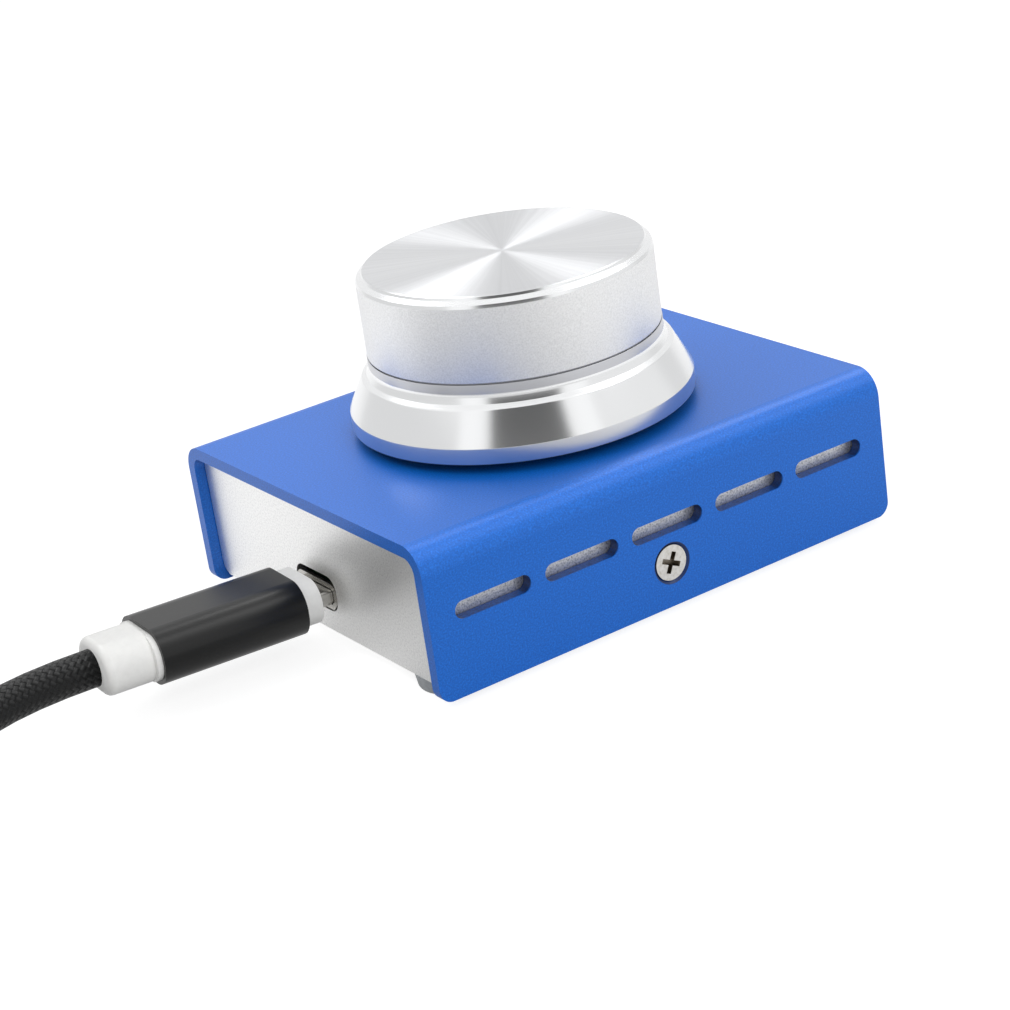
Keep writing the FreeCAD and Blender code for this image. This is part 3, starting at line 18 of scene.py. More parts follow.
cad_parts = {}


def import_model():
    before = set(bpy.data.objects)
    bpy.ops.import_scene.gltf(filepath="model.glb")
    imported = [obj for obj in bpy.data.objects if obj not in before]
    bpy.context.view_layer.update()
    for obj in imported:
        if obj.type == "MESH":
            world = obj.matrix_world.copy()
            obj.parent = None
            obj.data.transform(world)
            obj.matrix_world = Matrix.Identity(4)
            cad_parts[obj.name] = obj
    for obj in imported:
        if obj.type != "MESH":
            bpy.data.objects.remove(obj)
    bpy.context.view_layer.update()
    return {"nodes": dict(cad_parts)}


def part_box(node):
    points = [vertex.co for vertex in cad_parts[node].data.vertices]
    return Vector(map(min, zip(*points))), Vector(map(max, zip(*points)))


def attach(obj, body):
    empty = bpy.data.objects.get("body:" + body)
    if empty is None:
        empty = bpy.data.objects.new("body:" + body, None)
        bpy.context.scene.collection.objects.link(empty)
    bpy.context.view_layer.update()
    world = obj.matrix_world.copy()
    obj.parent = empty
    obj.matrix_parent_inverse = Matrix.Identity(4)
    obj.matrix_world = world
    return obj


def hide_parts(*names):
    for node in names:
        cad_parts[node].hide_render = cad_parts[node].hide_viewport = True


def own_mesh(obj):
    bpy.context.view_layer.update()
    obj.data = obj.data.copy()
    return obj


LOG = logging.getLogger("volume_control")
MM = 0.001
WHITE = "#ffffff"
Colour = tuple[float, float, float, float]
Point = tuple[float, float, float]
Source = bpy.types.NodeSocket | bpy.types.Node

# Node types that are used again and again.
COORDINATES = "ShaderNodeTexCoord"
MATH = "ShaderNodeMath"
VECTOR_MATH = "ShaderNodeVectorMath"
SEPARATE = "ShaderNodeSeparateXYZ"
MAP_RANGE = "ShaderNodeMapRange"
NOISE = "ShaderNodeTexNoise"
MIX = "ShaderNodeMix"

# How many finer layers each noise has, and how strong they are in the grains.
NOISE_DETAIL = 2.0
NOISE_ROUGHNESS = 0.6
# The shares of a pattern at which its colours are set, from dark to light.
GRAIN_STOPS = (0.3, 0.5, 0.72)
SHADOW_STOP = 0.1
SECTOR_STOPS = (0.25, 0.75)
MOULD_STOPS = (0.25, 0.6)
THREAD_STOPS = (0.25, 0.95)
# A quarter turn of the anisotropy, which stretches a highlight across the rings.
ACROSS_RINGS = 0.25
# A radius below this, in millimetres, is a point on the axis.
ON_AXIS = 1e-6
# Edges of turned pieces that are sharper than this many degrees are shaded sharp.
SHARP_EDGE = 25


# ---------------------------------------------------------------- colours and nodes


def linear(hex_colour: str) -> Colour:
    """Turns an sRGB hex colour into linear light.

    Args:
        hex_colour: colour such as "#2a62c0".

    Returns:
        Red, green, blue and an alpha of 1.
    """
    shares = [int(hex_colour[i : i + 2], 16) / 255 for i in (1, 3, 5)]
    red, green, blue = [s / 12.92 if s <= 0.04045 else ((s + 0.055) / 1.055) ** 2.4 for s in shares]
    return (red, green, blue, 1.0)


def per_metre(size_mm: float) -> float:
    """The texture scale at which one cell of a pattern is so many millimetres."""
    return 1.0 / (size_mm * MM)


def add_node(
    tree: bpy.types.NodeTree, kind: str, inputs: dict | Sequence = (), **settings: str
) -> bpy.types.Node:
    """Adds one node with its settings and links.

    Args:
        tree: the node tree that it goes in.
        kind: the node type's identifier.
        inputs: what goes into the inputs, in their order or by their names or numbers: values, output
            sockets, or nodes, whose first output is taken.
        **settings: properties of the node itself.

    Returns:
        The new node.
    """
    node = tree.nodes.new(kind)
    for name, value in settings.items():
        setattr(node, name, value)
    for name, value in inputs.items() if isinstance(inputs, dict) else enumerate(inputs):
        if isinstance(value, bpy.types.Node):
            value = value.outputs[0]
        if isinstance(value, bpy.types.NodeSocket):
            tree.links.new(value, node.inputs[name])
        else:
            node.inputs[name].default_value = value
    return node


# ---------------------------------------------------------------- finishes


@dataclass(frozen=True)
class Finish:
    """A plain finish, from which the others take their shader.

    Attributes:
        name: the real finish, which names the material.
        colour: sRGB hex colour.
        roughness: 0 for a mirror, 1 for chalk.
        metallic: 1 for bare metal.
        ior: index of refraction of a finish that isn't metal.
        coat: strength of a clear layer on top.
        coat_roughness: roughness of that layer.
    """

    name: str
    colour: str
    roughness: float
    metallic: float = 0.0
    ior: float = 1.5
    coat: float = 0.0
    coat_roughness: float = 0.1

    def material(self) -> bpy.types.Material:
        """Builds the material with its texture.

        Returns:
            The new material.
        """
        made = bpy.data.materials.new(self.name)
        made.use_nodes = True
        tree = made.node_tree
        shader = tree.nodes["Principled BSDF"]
        shader.inputs["Base Color"].default_value = linear(self.colour)
        shader.inputs["Roughness"].default_value = self.roughness
        shader.inputs["Metallic"].default_value = self.metallic
        shader.inputs["Coat Weight"].default_value = self.coat
        shader.inputs["Coat Roughness"].default_value = self.coat_roughness
        if self.metallic == 0:
            shader.inputs["IOR"].default_value = self.ior
        self.texture(tree, shader)
        return made

    def texture(self, tree: bpy.types.NodeTree, shader: bpy.types.Node) -> None:
        """Adds nothing: each finish below adds its own texture here."""

    def speckle(self, tree: bpy.types.NodeTree, size_mm: float) -> bpy.types.NodeSocket:
        """Makes random light and dark grains of about one size.

        Args:
            tree: the material's nodes.
            size_mm: width of a grain.

        Returns:
            A share from 0 in the darkest grains to 1 in the lightest.
        """
        place = add_node(tree, COORDINATES).outputs["Object"]
        look = {"Scale": per_metre(size_mm), "Detail": NOISE_DETAIL, "Roughness": NOISE_ROUGHNESS}
        return add_node(tree, NOISE, {"Vector": place, **look}).outputs["Fac"]

    def tint(
        self, tree: bpy.types.NodeTree, shader: bpy.types.Node, share: Source, *stops: tuple[float, str]
    ) -> None:
        """Colours the surface by a share from 0 to 1.

        Args:
            tree: the material's nodes.
            shader: the shader whose colour is set.
            share: what the colour follows.
            *stops: pairs of a share and a hex colour.
        """
        ramp = add_node(tree, "ShaderNodeValToRGB", {"Fac": share})
        while len(ramp.color_ramp.elements) < len(stops):
            ramp.color_ramp.elements.new(0.5)
        for element, (at, colour) in zip(ramp.color_ramp.elements, stops):
            element.position = at
            element.color = linear(colour)
        tree.links.new(ramp.outputs["Color"], shader.inputs["Base Color"])

    def relief(
        self, tree: bpy.types.NodeTree, shader: bpy.types.Node, height: Source, depth_mm: float
    ) -> None:
        """Raises the surface by a height from 0 to 1 times a depth in millimetres."""
        bump = add_node(tree, "ShaderNodeBump", {"Height": height, "Distance": depth_mm * MM})
        tree.links.new(bump.outputs["Normal"], shader.inputs["Normal"])


@dataclass(frozen=True)
class BlastedMetal(Finish):
    """Blasted, plated or rolled metal: tiny dents that break each highlight up, with light and dark grains.

    Attributes:
        metallic: 1 for bare metal.
        grain_mm: width of a dent, drawn two to five times as wide as a real one, so that it shows.
        depth_mm: depth of a dent.
        dark: the colour of the darkest grains.
        light: the colour of the lightest grains.
    """

    metallic: float = 1.0
    grain_mm: float = 0.18
    depth_mm: float = 0.02
    dark: str = "#808080"
    light: str = WHITE

    def stops(self) -> list[tuple[float, str]]:
        """The shares and colours of the dark, middling and light grains."""
        return list(zip(GRAIN_STOPS, (self.dark, self.colour, self.light)))

    def with_painted_shade(self, tree: bpy.types.NodeTree, grain: Source) -> Source:
        """The grains' share after painted shade has lowered it: here there is none."""
        return grain

    def texture(self, tree: bpy.types.NodeTree, shader: bpy.types.Node) -> None:
        """Adds the dents, with their light and dark grains.

        Args:
            tree: the material's nodes.
            shader: its shader.
        """
        grain = self.speckle(tree, self.grain_mm)
        self.tint(tree, shader, self.with_painted_shade(tree, grain), *self.stops())
        self.relief(tree, shader, grain, self.depth_mm)


@dataclass(frozen=True)
class CaseMetal(BlastedMetal):
    """Blasted sheet of the case, with painted shade in a countersink along Y and among the vents.

    Attributes:
        hole: the countersink's middle along X and Z, in millimetres.
        hole_mm: the countersink's radius, or 0 where the sheet has none.
        vents: half the size of the box that the vents fill, in millimetres.
        vents_height: height of that box's middle.
        fade_mm: the distance over which the painted shade sets in.
        shade: the share of the grains' brightness that is left among the vents, where painted shade darkens
            them.
        shadow: the darkest colour of the painted shade.
    """

    hole: tuple[float, float] = (0.0, 0.0)
    hole_mm: float = 0.0
    vents: tuple[float, float, float] = (29.5, 24.9, 1.1)
    vents_height: float = 0.0
    fade_mm: float = 0.1
    shade: float = 0.25
    shadow: str = "#0c2a5c"

    def stops(self) -> list[tuple[float, str]]:
        """The grains' shares and colours, and that of the painted shade."""
        return [(SHADOW_STOP, self.shadow), *super().stops()]

    def around_hole(self, tree: bpy.types.NodeTree) -> bpy.types.Node:
        """Tells the countersink from the rest.

        Args:
            tree: the material's nodes.

        Returns:
            A share that is 0 in the countersink and 1 outside it.
        """
        place = add_node(tree, COORDINATES).outputs["Object"]
        x, _, z = add_node(tree, SEPARATE, (place,)).outputs
        flat = add_node(tree, "ShaderNodeCombineXYZ", {0: x, 2: z})
        middle = (self.hole[0] * MM, 0.0, self.hole[1] * MM)
        off = add_node(tree, VECTOR_MATH, (flat, middle), operation="DISTANCE").outputs["Value"]
        near, far = self.hole_mm - self.fade_mm / 2, self.hole_mm + self.fade_mm / 2
        return add_node(tree, MAP_RANGE, {"Value": off, "From Min": near * MM, "From Max": far * MM})

    def around_vents(self, tree: bpy.types.NodeTree) -> bpy.types.Node:
        """Tells the vents from the rest.

        Args:
            tree: the material's nodes.

        Returns:
            A share that is lower among the vents and 1 outside them.
        """
        place = add_node(tree, COORDINATES).outputs["Object"]
        middle = (0.0, 0.0, self.vents_height * MM)
        half = tuple(size * MM for size in self.vents)
        off = add_node(tree, VECTOR_MATH, (place, middle), operation="SUBTRACT")
        off = add_node(tree, VECTOR_MATH, (off,), operation="ABSOLUTE")
        off = add_node(tree, VECTOR_MATH, (off, half), operation="SUBTRACT")
        sides = add_node(tree, SEPARATE, (off,)).outputs
        out = add_node(tree, MATH, (sides[0], sides[1]), operation="MAXIMUM")
        out = add_node(tree, MATH, (out, sides[2]), operation="MAXIMUM")
        limits = {"Value": out, "From Min": -self.fade_mm * MM, "From Max": 0.0, "To Min": self.shade}
        return add_node(tree, MAP_RANGE, limits)

    def with_painted_shade(self, tree: bpy.types.NodeTree, grain: Source) -> Source:
        """Paints shade over the grains in the countersink and among the vents.

        Args:
            tree: the material's nodes.
            grain: the share of light in the grains.

        Returns:
            The share that is left.
        """
        # Painted shade: darker in the countersink and among the vents.
        share = self.around_vents(tree)
        if self.hole_mm:
            share = add_node(tree, MATH, (self.around_hole(tree), share), operation="MULTIPLY")
        return add_node(tree, MATH, (grain, share), operation="MULTIPLY")


@dataclass(frozen=True)
class ScrewMetal(BlastedMetal):
    """Plated steel of a screw along Y, whose recess is painted dark: painted shade.

    Attributes:
        face_mm: distance of the head's face from the case's middle plane.
        lip_mm: depth below the face at which the dark sets in.
        sunk_mm: depth below the face at which it is darkest.
        recess: the colour of the painted shade at the bottom of the recess.
    """

    face_mm: float = 24.85
    lip_mm: float = 0.02
    sunk_mm: float = 0.25
    recess: str = "#857e73"

    def stops(self) -> list[tuple[float, str]]:
        """The grains' shares and colours, and that of the painted shade in the recess."""
        return [(0.0, self.recess), *super().stops()]

    def with_painted_shade(self, tree: bpy.types.NodeTree, grain: Source) -> Source:
        """Paints shade over the grains below the head's face.

        Args:
            tree: the material's nodes.
            grain: the share of light in the grains.

        Returns:
            The share that is left.
        """
        place = add_node(tree, COORDINATES).outputs["Object"]
        y = add_node(tree, SEPARATE, (place,)).outputs[1]
        across = add_node(tree, MATH, (y,), operation="ABSOLUTE")
        sunk = add_node(tree, MATH, (self.face_mm * MM, across), operation="SUBTRACT")
        limits = {"From Min": self.lip_mm * MM, "From Max": self.sunk_mm * MM, "To Min": 1.0, "To Max": 0.0}
        # Painted shade: darker the deeper it lies in the recess.
        open_share = add_node(tree, MAP_RANGE, {"Value": sunk, **limits})
        return add_node(tree, MATH, (grain, open_share), operation="MULTIPLY")


@dataclass(frozen=True)
class TurnedMetal(Finish):
    """Metal faced on a lathe: fine rings that stretch each highlight across them.

    Attributes:
        metallic: 1 for bare metal.
        ring_mm: distance from ring to ring, coarser than the real feed so that it shows.
        depth_mm: depth of the rings.
        stretch: anisotropy, from 0 to 1.
        streaks: uneven sectors around the axis, in which the colour differs: partly random tone of the
            turning, partly painted reflection that stands in for the fans of light.
        dark: the colour of the darkest sectors.
        ripple_mm: width of the slow ripples that the polishing leaves.
        ripple_depth_mm: depth of those ripples.
    """

    metallic: float = 1.0
    ring_mm: float = 0.12
    depth_mm: float = 0.002
    stretch: float = 0.0
    streaks: int = 0
    dark: str = "#808080"
    ripple_mm: float = 3.0
    ripple_depth_mm: float = 0.0

    def texture(self, tree: bpy.types.NodeTree, shader: bpy.types.Node) -> None:
        """Adds the rings about the knob's axis, the uneven sectors and the ripples.

        Args:
            tree: the material's nodes.
            shader: its shader.
        """
        shader.inputs["Anisotropic"].default_value = self.stretch
        shader.inputs["Anisotropic Rotation"].default_value = ACROSS_RINGS
        tangent = add_node(tree, "ShaderNodeTangent", direction_type="RADIAL", axis="Z")
        tree.links.new(tangent.outputs[0], shader.inputs["Tangent"])
        place = add_node(tree, COORDINATES).outputs["Object"]
        x, y, z = add_node(tree, SEPARATE, (place,)).outputs
        squares = [add_node(tree, MATH, (side, 2), operation="POWER") for side in (x, y)]
        radius = add_node(tree, MATH, (add_node(tree, MATH, squares, operation="ADD"),), operation="SQRT")
        along = add_node(tree, MATH, (radius, z), operation="ADD")
        look = {"W": along, "Scale": per_metre(self.ring_mm), "Detail": NOISE_DETAIL}
        rings = add_node(tree, NOISE, look, noise_dimensions="1D").outputs["Fac"]
        if self.streaks:
            # The sectors' colour is partly random tone and partly painted reflection of the fans.
            angle = add_node(tree, MATH, (y, x), operation="ARCTAN2")
            sector = add_node(tree, MATH, (angle, self.streaks / math.tau), operation="MULTIPLY")
            look = {"W": sector, "Scale": 1.0, "Detail": NOISE_DETAIL}
            uneven = add_node(tree, NOISE, look, noise_dimensions="1D").outputs["Fac"]
            self.tint(tree, shader, uneven, *zip(SECTOR_STOPS, (self.dark, self.colour)))
        ripple_share = self.ripple_depth_mm / self.depth_mm
        ripples = self.speckle(tree, self.ripple_mm)
        ripples = add_node(tree, MATH, (ripples, ripple_share), operation="MULTIPLY")
        height = add_node(tree, MATH, (rings, ripples), operation="ADD")
        self.relief(tree, shader, height, self.depth_mm)


@dataclass(frozen=True)
class Moulded(Finish):
    """Moulded plastic or rubber, a dyed skin, or black painted in for shade: its faint texture.

    Attributes:
        grain_mm: width of the texture's grains, drawn coarse enough to show.
        depth_mm: depth of the texture.
        dark: the colour of the darkest patches.
    """

    grain_mm: float = 0.3
    depth_mm: float = 0.004
    dark: str = "#000000"

    def texture(self, tree: bpy.types.NodeTree, shader: bpy.types.Node) -> None:
        """Adds the texture, with a slight drift of the colour.

        Args:
            tree: the material's nodes.
            shader: its shader.
        """
        grain = self.speckle(tree, self.grain_mm)
        self.tint(tree, shader, grain, *zip(MOULD_STOPS, (self.dark, self.colour)))
        self.relief(tree, shader, grain, self.depth_mm)


@dataclass(frozen=True)
class Braided(Finish):
    """A braided sleeve: two sets of threads wound both ways, each passing over and under the other.

    Attributes:
        threads: threads of one set around the cord.
        pitch_mm: length of the cord in which the threads move on by one.
        depth_mm: height of a thread.
        fullness: below 1, the threads are flatter on top than a sine.
        dark: the colour between the threads, where it stands for the shade there: painted shade.
    """

    threads: int = 16
    pitch_mm: float = 0.85
    depth_mm: float = 0.14
    fullness: float = 0.6
    dark: str = "#020202"

    def texture(self, tree: bpy.types.NodeTree, shader: bpy.types.Node) -> None:
        """Adds the two sets of threads, from the mesh's lengthwise and roundabout places.

        Args:
            tree: the material's nodes.
            shader: its shader.
        """
        uv = add_node(tree, SEPARATE, (add_node(tree, "ShaderNodeUVMap", uv_map="along"),)).outputs
        along = add_node(tree, MATH, (uv[0], self.pitch_mm), operation="DIVIDE")
        around = add_node(tree, MATH, (uv[1], float(self.threads)), operation="MULTIPLY")
        ways = [add_node(tree, MATH, (around, along), operation=way) for way in ("ADD", "SUBTRACT")]
        counts = [add_node(tree, MATH, (way,), operation="FLOOR") for way in ways]
        rows = add_node(tree, MATH, counts, operation="ADD")
        over = add_node(tree, MATH, (rows, 2.0), operation="FLOORED_MODULO")
        turns = [add_node(tree, MATH, (way, math.pi), operation="MULTIPLY") for way in ways]
        waves = [add_node(tree, MATH, (turn,), operation="SINE") for turn in turns]
        humps = [add_node(tree, MATH, (wave,), operation="ABSOLUTE") for wave in waves]
        top = add_node(tree, MIX, {"Factor": over, "A": humps[0], "B": humps[1]})
        height = add_node(tree, MATH, (top, self.fullness), operation="POWER")
        # The low places between the threads are tinted dark: painted shade.
        self.tint(tree, shader, height, *zip(THREAD_STOPS, (self.dark, self.colour)))
        self.relief(tree, shader, height, self.depth_mm)


# Anodised aluminium sheet, bead blasted and dyed: the dents scatter the light into a soft, even blue glow.
# The dyed oxide hides most of the metal, and its clear top turns it paler where it is seen at a slant.
# Its countersink and vents are painted darker: painted shade.
BLUE_ANODISED = CaseMetal(
    "blue_anodised_aluminium",
    "#0466cb",
    0.48,
    metallic=0.2,
    coat=0.24,
    coat_roughness=0.28,
    grain_mm=0.2,
    depth_mm=0.006,
    dark="#035cbb",
    light="#1278e2",
    hole_mm=2.4,
)
# Clear anodised aluminium, blasted with coarser beads: a pale, grainy surface with no clear reflection.
# Among the vents, where it shows through them, it is painted darker: painted shade.
SILVER_ANODISED = CaseMetal(
    "silver_anodised_aluminium",
    "#eeeeed",
    0.38,
    metallic=0.9,
    grain_mm=0.22,
    depth_mm=0.03,
    dark="#dedede",
    light="#f9f9f8",
    vents=(29.5, 24.9, 3.0),
    shade=0.55,
    shadow="#70747c",
)
# The knob's barrel, blasted after turning: fine sparkle on pale metal.
BLASTED_ALUMINIUM = BlastedMetal(
    "blasted_aluminium", "#ececec", 0.45, grain_mm=0.18, depth_mm=0.002, dark="#e1e2e2", light="#f5f6f6"
)
# The knob's top, faced on a lathe: rings too fine to see turn each light into a fan.
# Its uneven sectors are partly random tone and partly painted reflection of those fans.
SPUN_ALUMINIUM = TurnedMetal(
    "spun_aluminium",
    "#dddee0",
    0.3,
    ring_mm=0.1,
    depth_mm=0.0006,
    stretch=0.9,
    streaks=130,
    dark="#d5d6d8",
)
# Bands cut with a diamond tool: almost a mirror, with the rings of the tool.
DIAMOND_CUT = TurnedMetal(
    "diamond_cut_aluminium",
    "#eeeff0",
    0.19,
    ring_mm=0.22,
    depth_mm=0.0012,
    stretch=0.3,
    ripple_depth_mm=0.004,
)
# Upright bands turned with an ordinary tool: a soft, milky reflection.
TURNED_ALUMINIUM = TurnedMetal(
    "turned_aluminium", "#d9dadd", 0.28, ring_mm=0.2, depth_mm=0.0012, stretch=0.2
)
# The neck, in the same turned aluminium, with a darker colour that stands in for the shade and dark
# reflections on it: painted shade.
SHADED_NECK_ALUMINIUM = replace(TURNED_ALUMINIUM, name="shaded_neck_aluminium", colour="#c4c5c9")
# The narrow groove above the neck, left as the parting tool cut it: dull, and painted darker so that it
# shows as a dark line round the knob: painted shade.
PARTED_SHADED_ALUMINIUM = TurnedMetal("parted_aluminium_painted_shade", "#a6a7ab", 0.5, ring_mm=0.1, depth_mm=0.002)
# The knob's underside and hollow, painted black so that the gap under the skirt is dark: painted shade.
GAP_SHADE_BLACK = Moulded(
    "painted_gap_shade_black", "#0b0c0d", 0.6, grain_mm=0.3, depth_mm=0.003, dark="#070808"
)
# Nickel-plated steel screws of the board, pressed and plated: bright, slightly yellow.
NICKEL_STEEL = BlastedMetal(
    "nickel_plated_steel", "#d8d6cf", 0.28, grain_mm=0.5, depth_mm=0.003, dark="#b8b5ac", light="#efeee8"
)
# The side screws, of the same steel: their cross recesses are painted dark, as painted shade.
SCREW_STEEL = ScrewMetal(
    "nickel_plated_screw", "#eae7df", 0.3, grain_mm=0.5, depth_mm=0.003, dark="#d8d4ca", light="#f4f2ec"
)
# Rolled stainless steel of the connectors, the dome and the crystal: satin, slightly warm.
CONNECTOR_STEEL = BlastedMetal(
    "rolled_stainless_steel",
    "#b9b7b2",
    0.25,
    grain_mm=0.4,
    depth_mm=0.0004,
    dark="#b2b0ab",
    light="#bfbdb8",
)
# Zinc-plated steel of the encoder and the washers, and the tin of the capacitors: grey and patchy.
ZINC_STEEL = BlastedMetal(
    "zinc_plated_steel", "#b4b8bd", 0.35, grain_mm=0.6, depth_mm=0.003, dark="#969aa0", light="#cdd1d6"
)
# Turned brass of the bushing, shaft and standoffs: pale yellow, with the rings of the tool.
TURNED_BRASS = TurnedMetal("turned_brass", "#d8c48a", 0.3, ring_mm=0.2, depth_mm=0.003)
# Gold flash on the contacts: smooth and yellow.
GOLD_FLASH = BlastedMetal(
    "gold_flash", "#e8c060", 0.25, grain_mm=0.3, depth_mm=0.001, dark="#d8ab48", light="#f2cf78"
)
# Moulded ABS of the plugs: smooth, white and half glossy.
WHITE_ABS = Moulded("white_abs", "#eeeeec", 0.34, grain_mm=0.8, depth_mm=0.001, dark="#e9e9e7")
# Drawn aluminium sleeve of the plugs under a satin black anodising: long soft highlights.
BLACK_SLEEVE = Moulded(
    "black_anodised_sleeve", "#060707", 0.28, ior=1.45, grain_mm=0.35, depth_mm=0.003, dark="#040505"
)
# Moulded feet of soft silicone rubber: matt grey.
GREY_RUBBER = Moulded("grey_silicone_rubber", "#b4b8bb", 0.6, grain_mm=0.5, depth_mm=0.006, dark="#a5a9ac")
# Glass-filled nylon of the encoder's inner pieces and the insulators: black, with a dry skin.
BLACK_NYLON = Moulded(
    "black_glass_filled_nylon", "#1d1d1e", 0.5, grain_mm=0.3, depth_mm=0.006, dark="#141415"
)
# Moulded epoxy of the chip and the resistors: matt, fine-grained black.
BLACK_EPOXY = Moulded("black_moulded_epoxy", "#202122", 0.6, grain_mm=0.12, depth_mm=0.004, dark="#161617")
# The knob's insert of moulded ABS: dark grey, half matt.
GREY_ABS = Moulded("dark_grey_abs", "#333437", 0.45, grain_mm=0.4, depth_mm=0.004, dark="#2a2b2d")
# Solder mask over copper and glass fibre: glossy green, with a clear skin.
SOLDER_MASK = Moulded(
    "green_solder_mask", "#0f5a2c", 0.3, coat=0.4, grain_mm=1.2, depth_mm=0.004, dark="#0a4522"
)
# Braided polyester over the lead's jacket: fine crossing threads with a dull sheen.
BLACK_BRAID = Braided("black_polyester_braid", "#08090a", 0.5, ior=1.42)
# Woven hook tape round the coil: rough and deep black.
BLACK_TAPE = Moulded("black_hook_tape", "#18191a", 0.85, grain_mm=0.25, depth_mm=0.05, dark="#070707")


@lru_cache(maxsize=None)
def material_of(finish: Finish) -> bpy.types.Material:
    """The one material of a finish."""
    return finish.material()


# ---------------------------------------------------------------- meshes


def new_object(
    name: str, data: bpy.types.ID, materials: Iterable[bpy.types.Material] = ()
) -> bpy.types.Object:
    """Puts an object in the scene.

    Args:
        name: the object's name.
        data: its mesh, camera or lamp.
        materials: its materials, in the order in which a mesh's faces count them.

    Returns:
        The new object.
    """
    made = bpy.data.objects.new(name, data)
    bpy.context.scene.collection.objects.link(made)
    for material in materials:
        data.materials.append(material)
    return made


def dress(nodes: dict[str, bpy.types.Object], finish: Finish, *names: str) -> None:
    """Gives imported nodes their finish.

    Args:
        nodes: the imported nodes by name.
        finish: the finish.
        *names: the nodes that get it.
    """
    for name in names:
        node = nodes[name]
        node.data.materials.clear()
        node.data.materials.append(material_of(finish))
        LOG.info("dressed %s in %s", name, finish.name)


@dataclass(frozen=True)
class Corner:
    """A corner of a turned profile.

    Attributes:
        radius: distance from the axis, in millimetres.
        height: height above the profile's foot, in millimetres.
        fillet: radius of its rounding, in millimetres.
        band: number of the finish from this corner to the next.
    """

    radius: float
    height: float
    fillet: float = 0.0
    band: int = 0


def rounded(corners: Sequence[Corner], steps: int = 5) -> list[tuple[float, float, int]]:
    """Rounds the corners of a closed profile.

    Args:
        corners: the profile's corners in order.
        steps: short straights in each rounding.

    Returns:
        Radius, height and band of each point.
    """
    points = []
    for i, corner in enumerate(corners):
        at = Vector((corner.radius, corner.height))
        after, before = corners[(i + 1) % len(corners)], corners[i - 1]
        if corner.fillet == 0:
            points.append((at.x, at.y, corner.band))
            continue
        back = (Vector((before.radius, before.height)) - at).normalized()
        ahead = (Vector((after.radius, after.height)) - at).normalized()
        half = back.angle(ahead) / 2
        reach = corner.fillet / math.tan(half)
        middle = at + (back + ahead).normalized() * (corner.fillet / math.sin(half))
        first, last = at + back * reach - middle, at + ahead * reach - middle
        turn = first.angle_signed(last)
        for step in range(steps + 1):
            spoke = first.copy()
            spoke.rotate(Matrix.Rotation(-turn * step / steps, 2))
            point = middle + spoke
            points.append((point.x, point.y, corner.band if step == steps else before.band))
    return points


def lathe(
    name: str, corners: Sequence[Corner], foot: float, finishes: Sequence[Finish], segments: int
) -> bpy.types.Object:
    """Turns a closed profile about the Z axis.

    Args:
        name: the object's name.
        corners: the profile's corners, from the axis outwards and back to it.
        foot: height of the profile's foot above the table, in metres.
        finishes: the finishes that the corners' bands count.
        segments: straights round the axis.

    Returns:
        The turned object.
    """
    profile = rounded(corners)
    shape = bmesh.new()
    rings = []
    for radius, height, _ in profile:
        z = foot + height * MM
        if radius < ON_AXIS:
            rings.append([shape.verts.new((0, 0, z))])
            continue
        angles = [math.tau * i / segments for i in range(segments)]
        places = [(radius * MM * math.cos(a), radius * MM * math.sin(a), z) for a in angles]
        rings.append([shape.verts.new(place) for place in places])
    for (_, _, band), ring, after in zip(profile, rings, rings[1:] + rings[:1]):
        if len(ring) == len(after) == 1:
            continue
        for i in range(segments):
            j = (i + 1) % segments
            around = [ring[i % len(ring)], ring[j % len(ring)], after[j % len(after)], after[i % len(after)]]
            face = shape.faces.new(dict.fromkeys(around))
            face.material_index = band
            face.smooth = True
    bmesh.ops.recalc_face_normals(shape, faces=shape.faces)
    mesh = bpy.data.meshes.new(name)
    shape.to_mesh(mesh)
    shape.free()
    mesh.set_sharp_from_angle(angle=math.radians(SHARP_EDGE))
    return new_object(name, mesh, [material_of(finish) for finish in finishes])


# ---------------------------------------------------------------- the knob


class Band(IntEnum):
    """The knob's bands, in the order of its finishes."""

    INSIDE = 0
    CUT = 1
    BARREL = 2
    TOP = 3
    UPRIGHT = 4
    GROOVE = 5
    NECK = 6


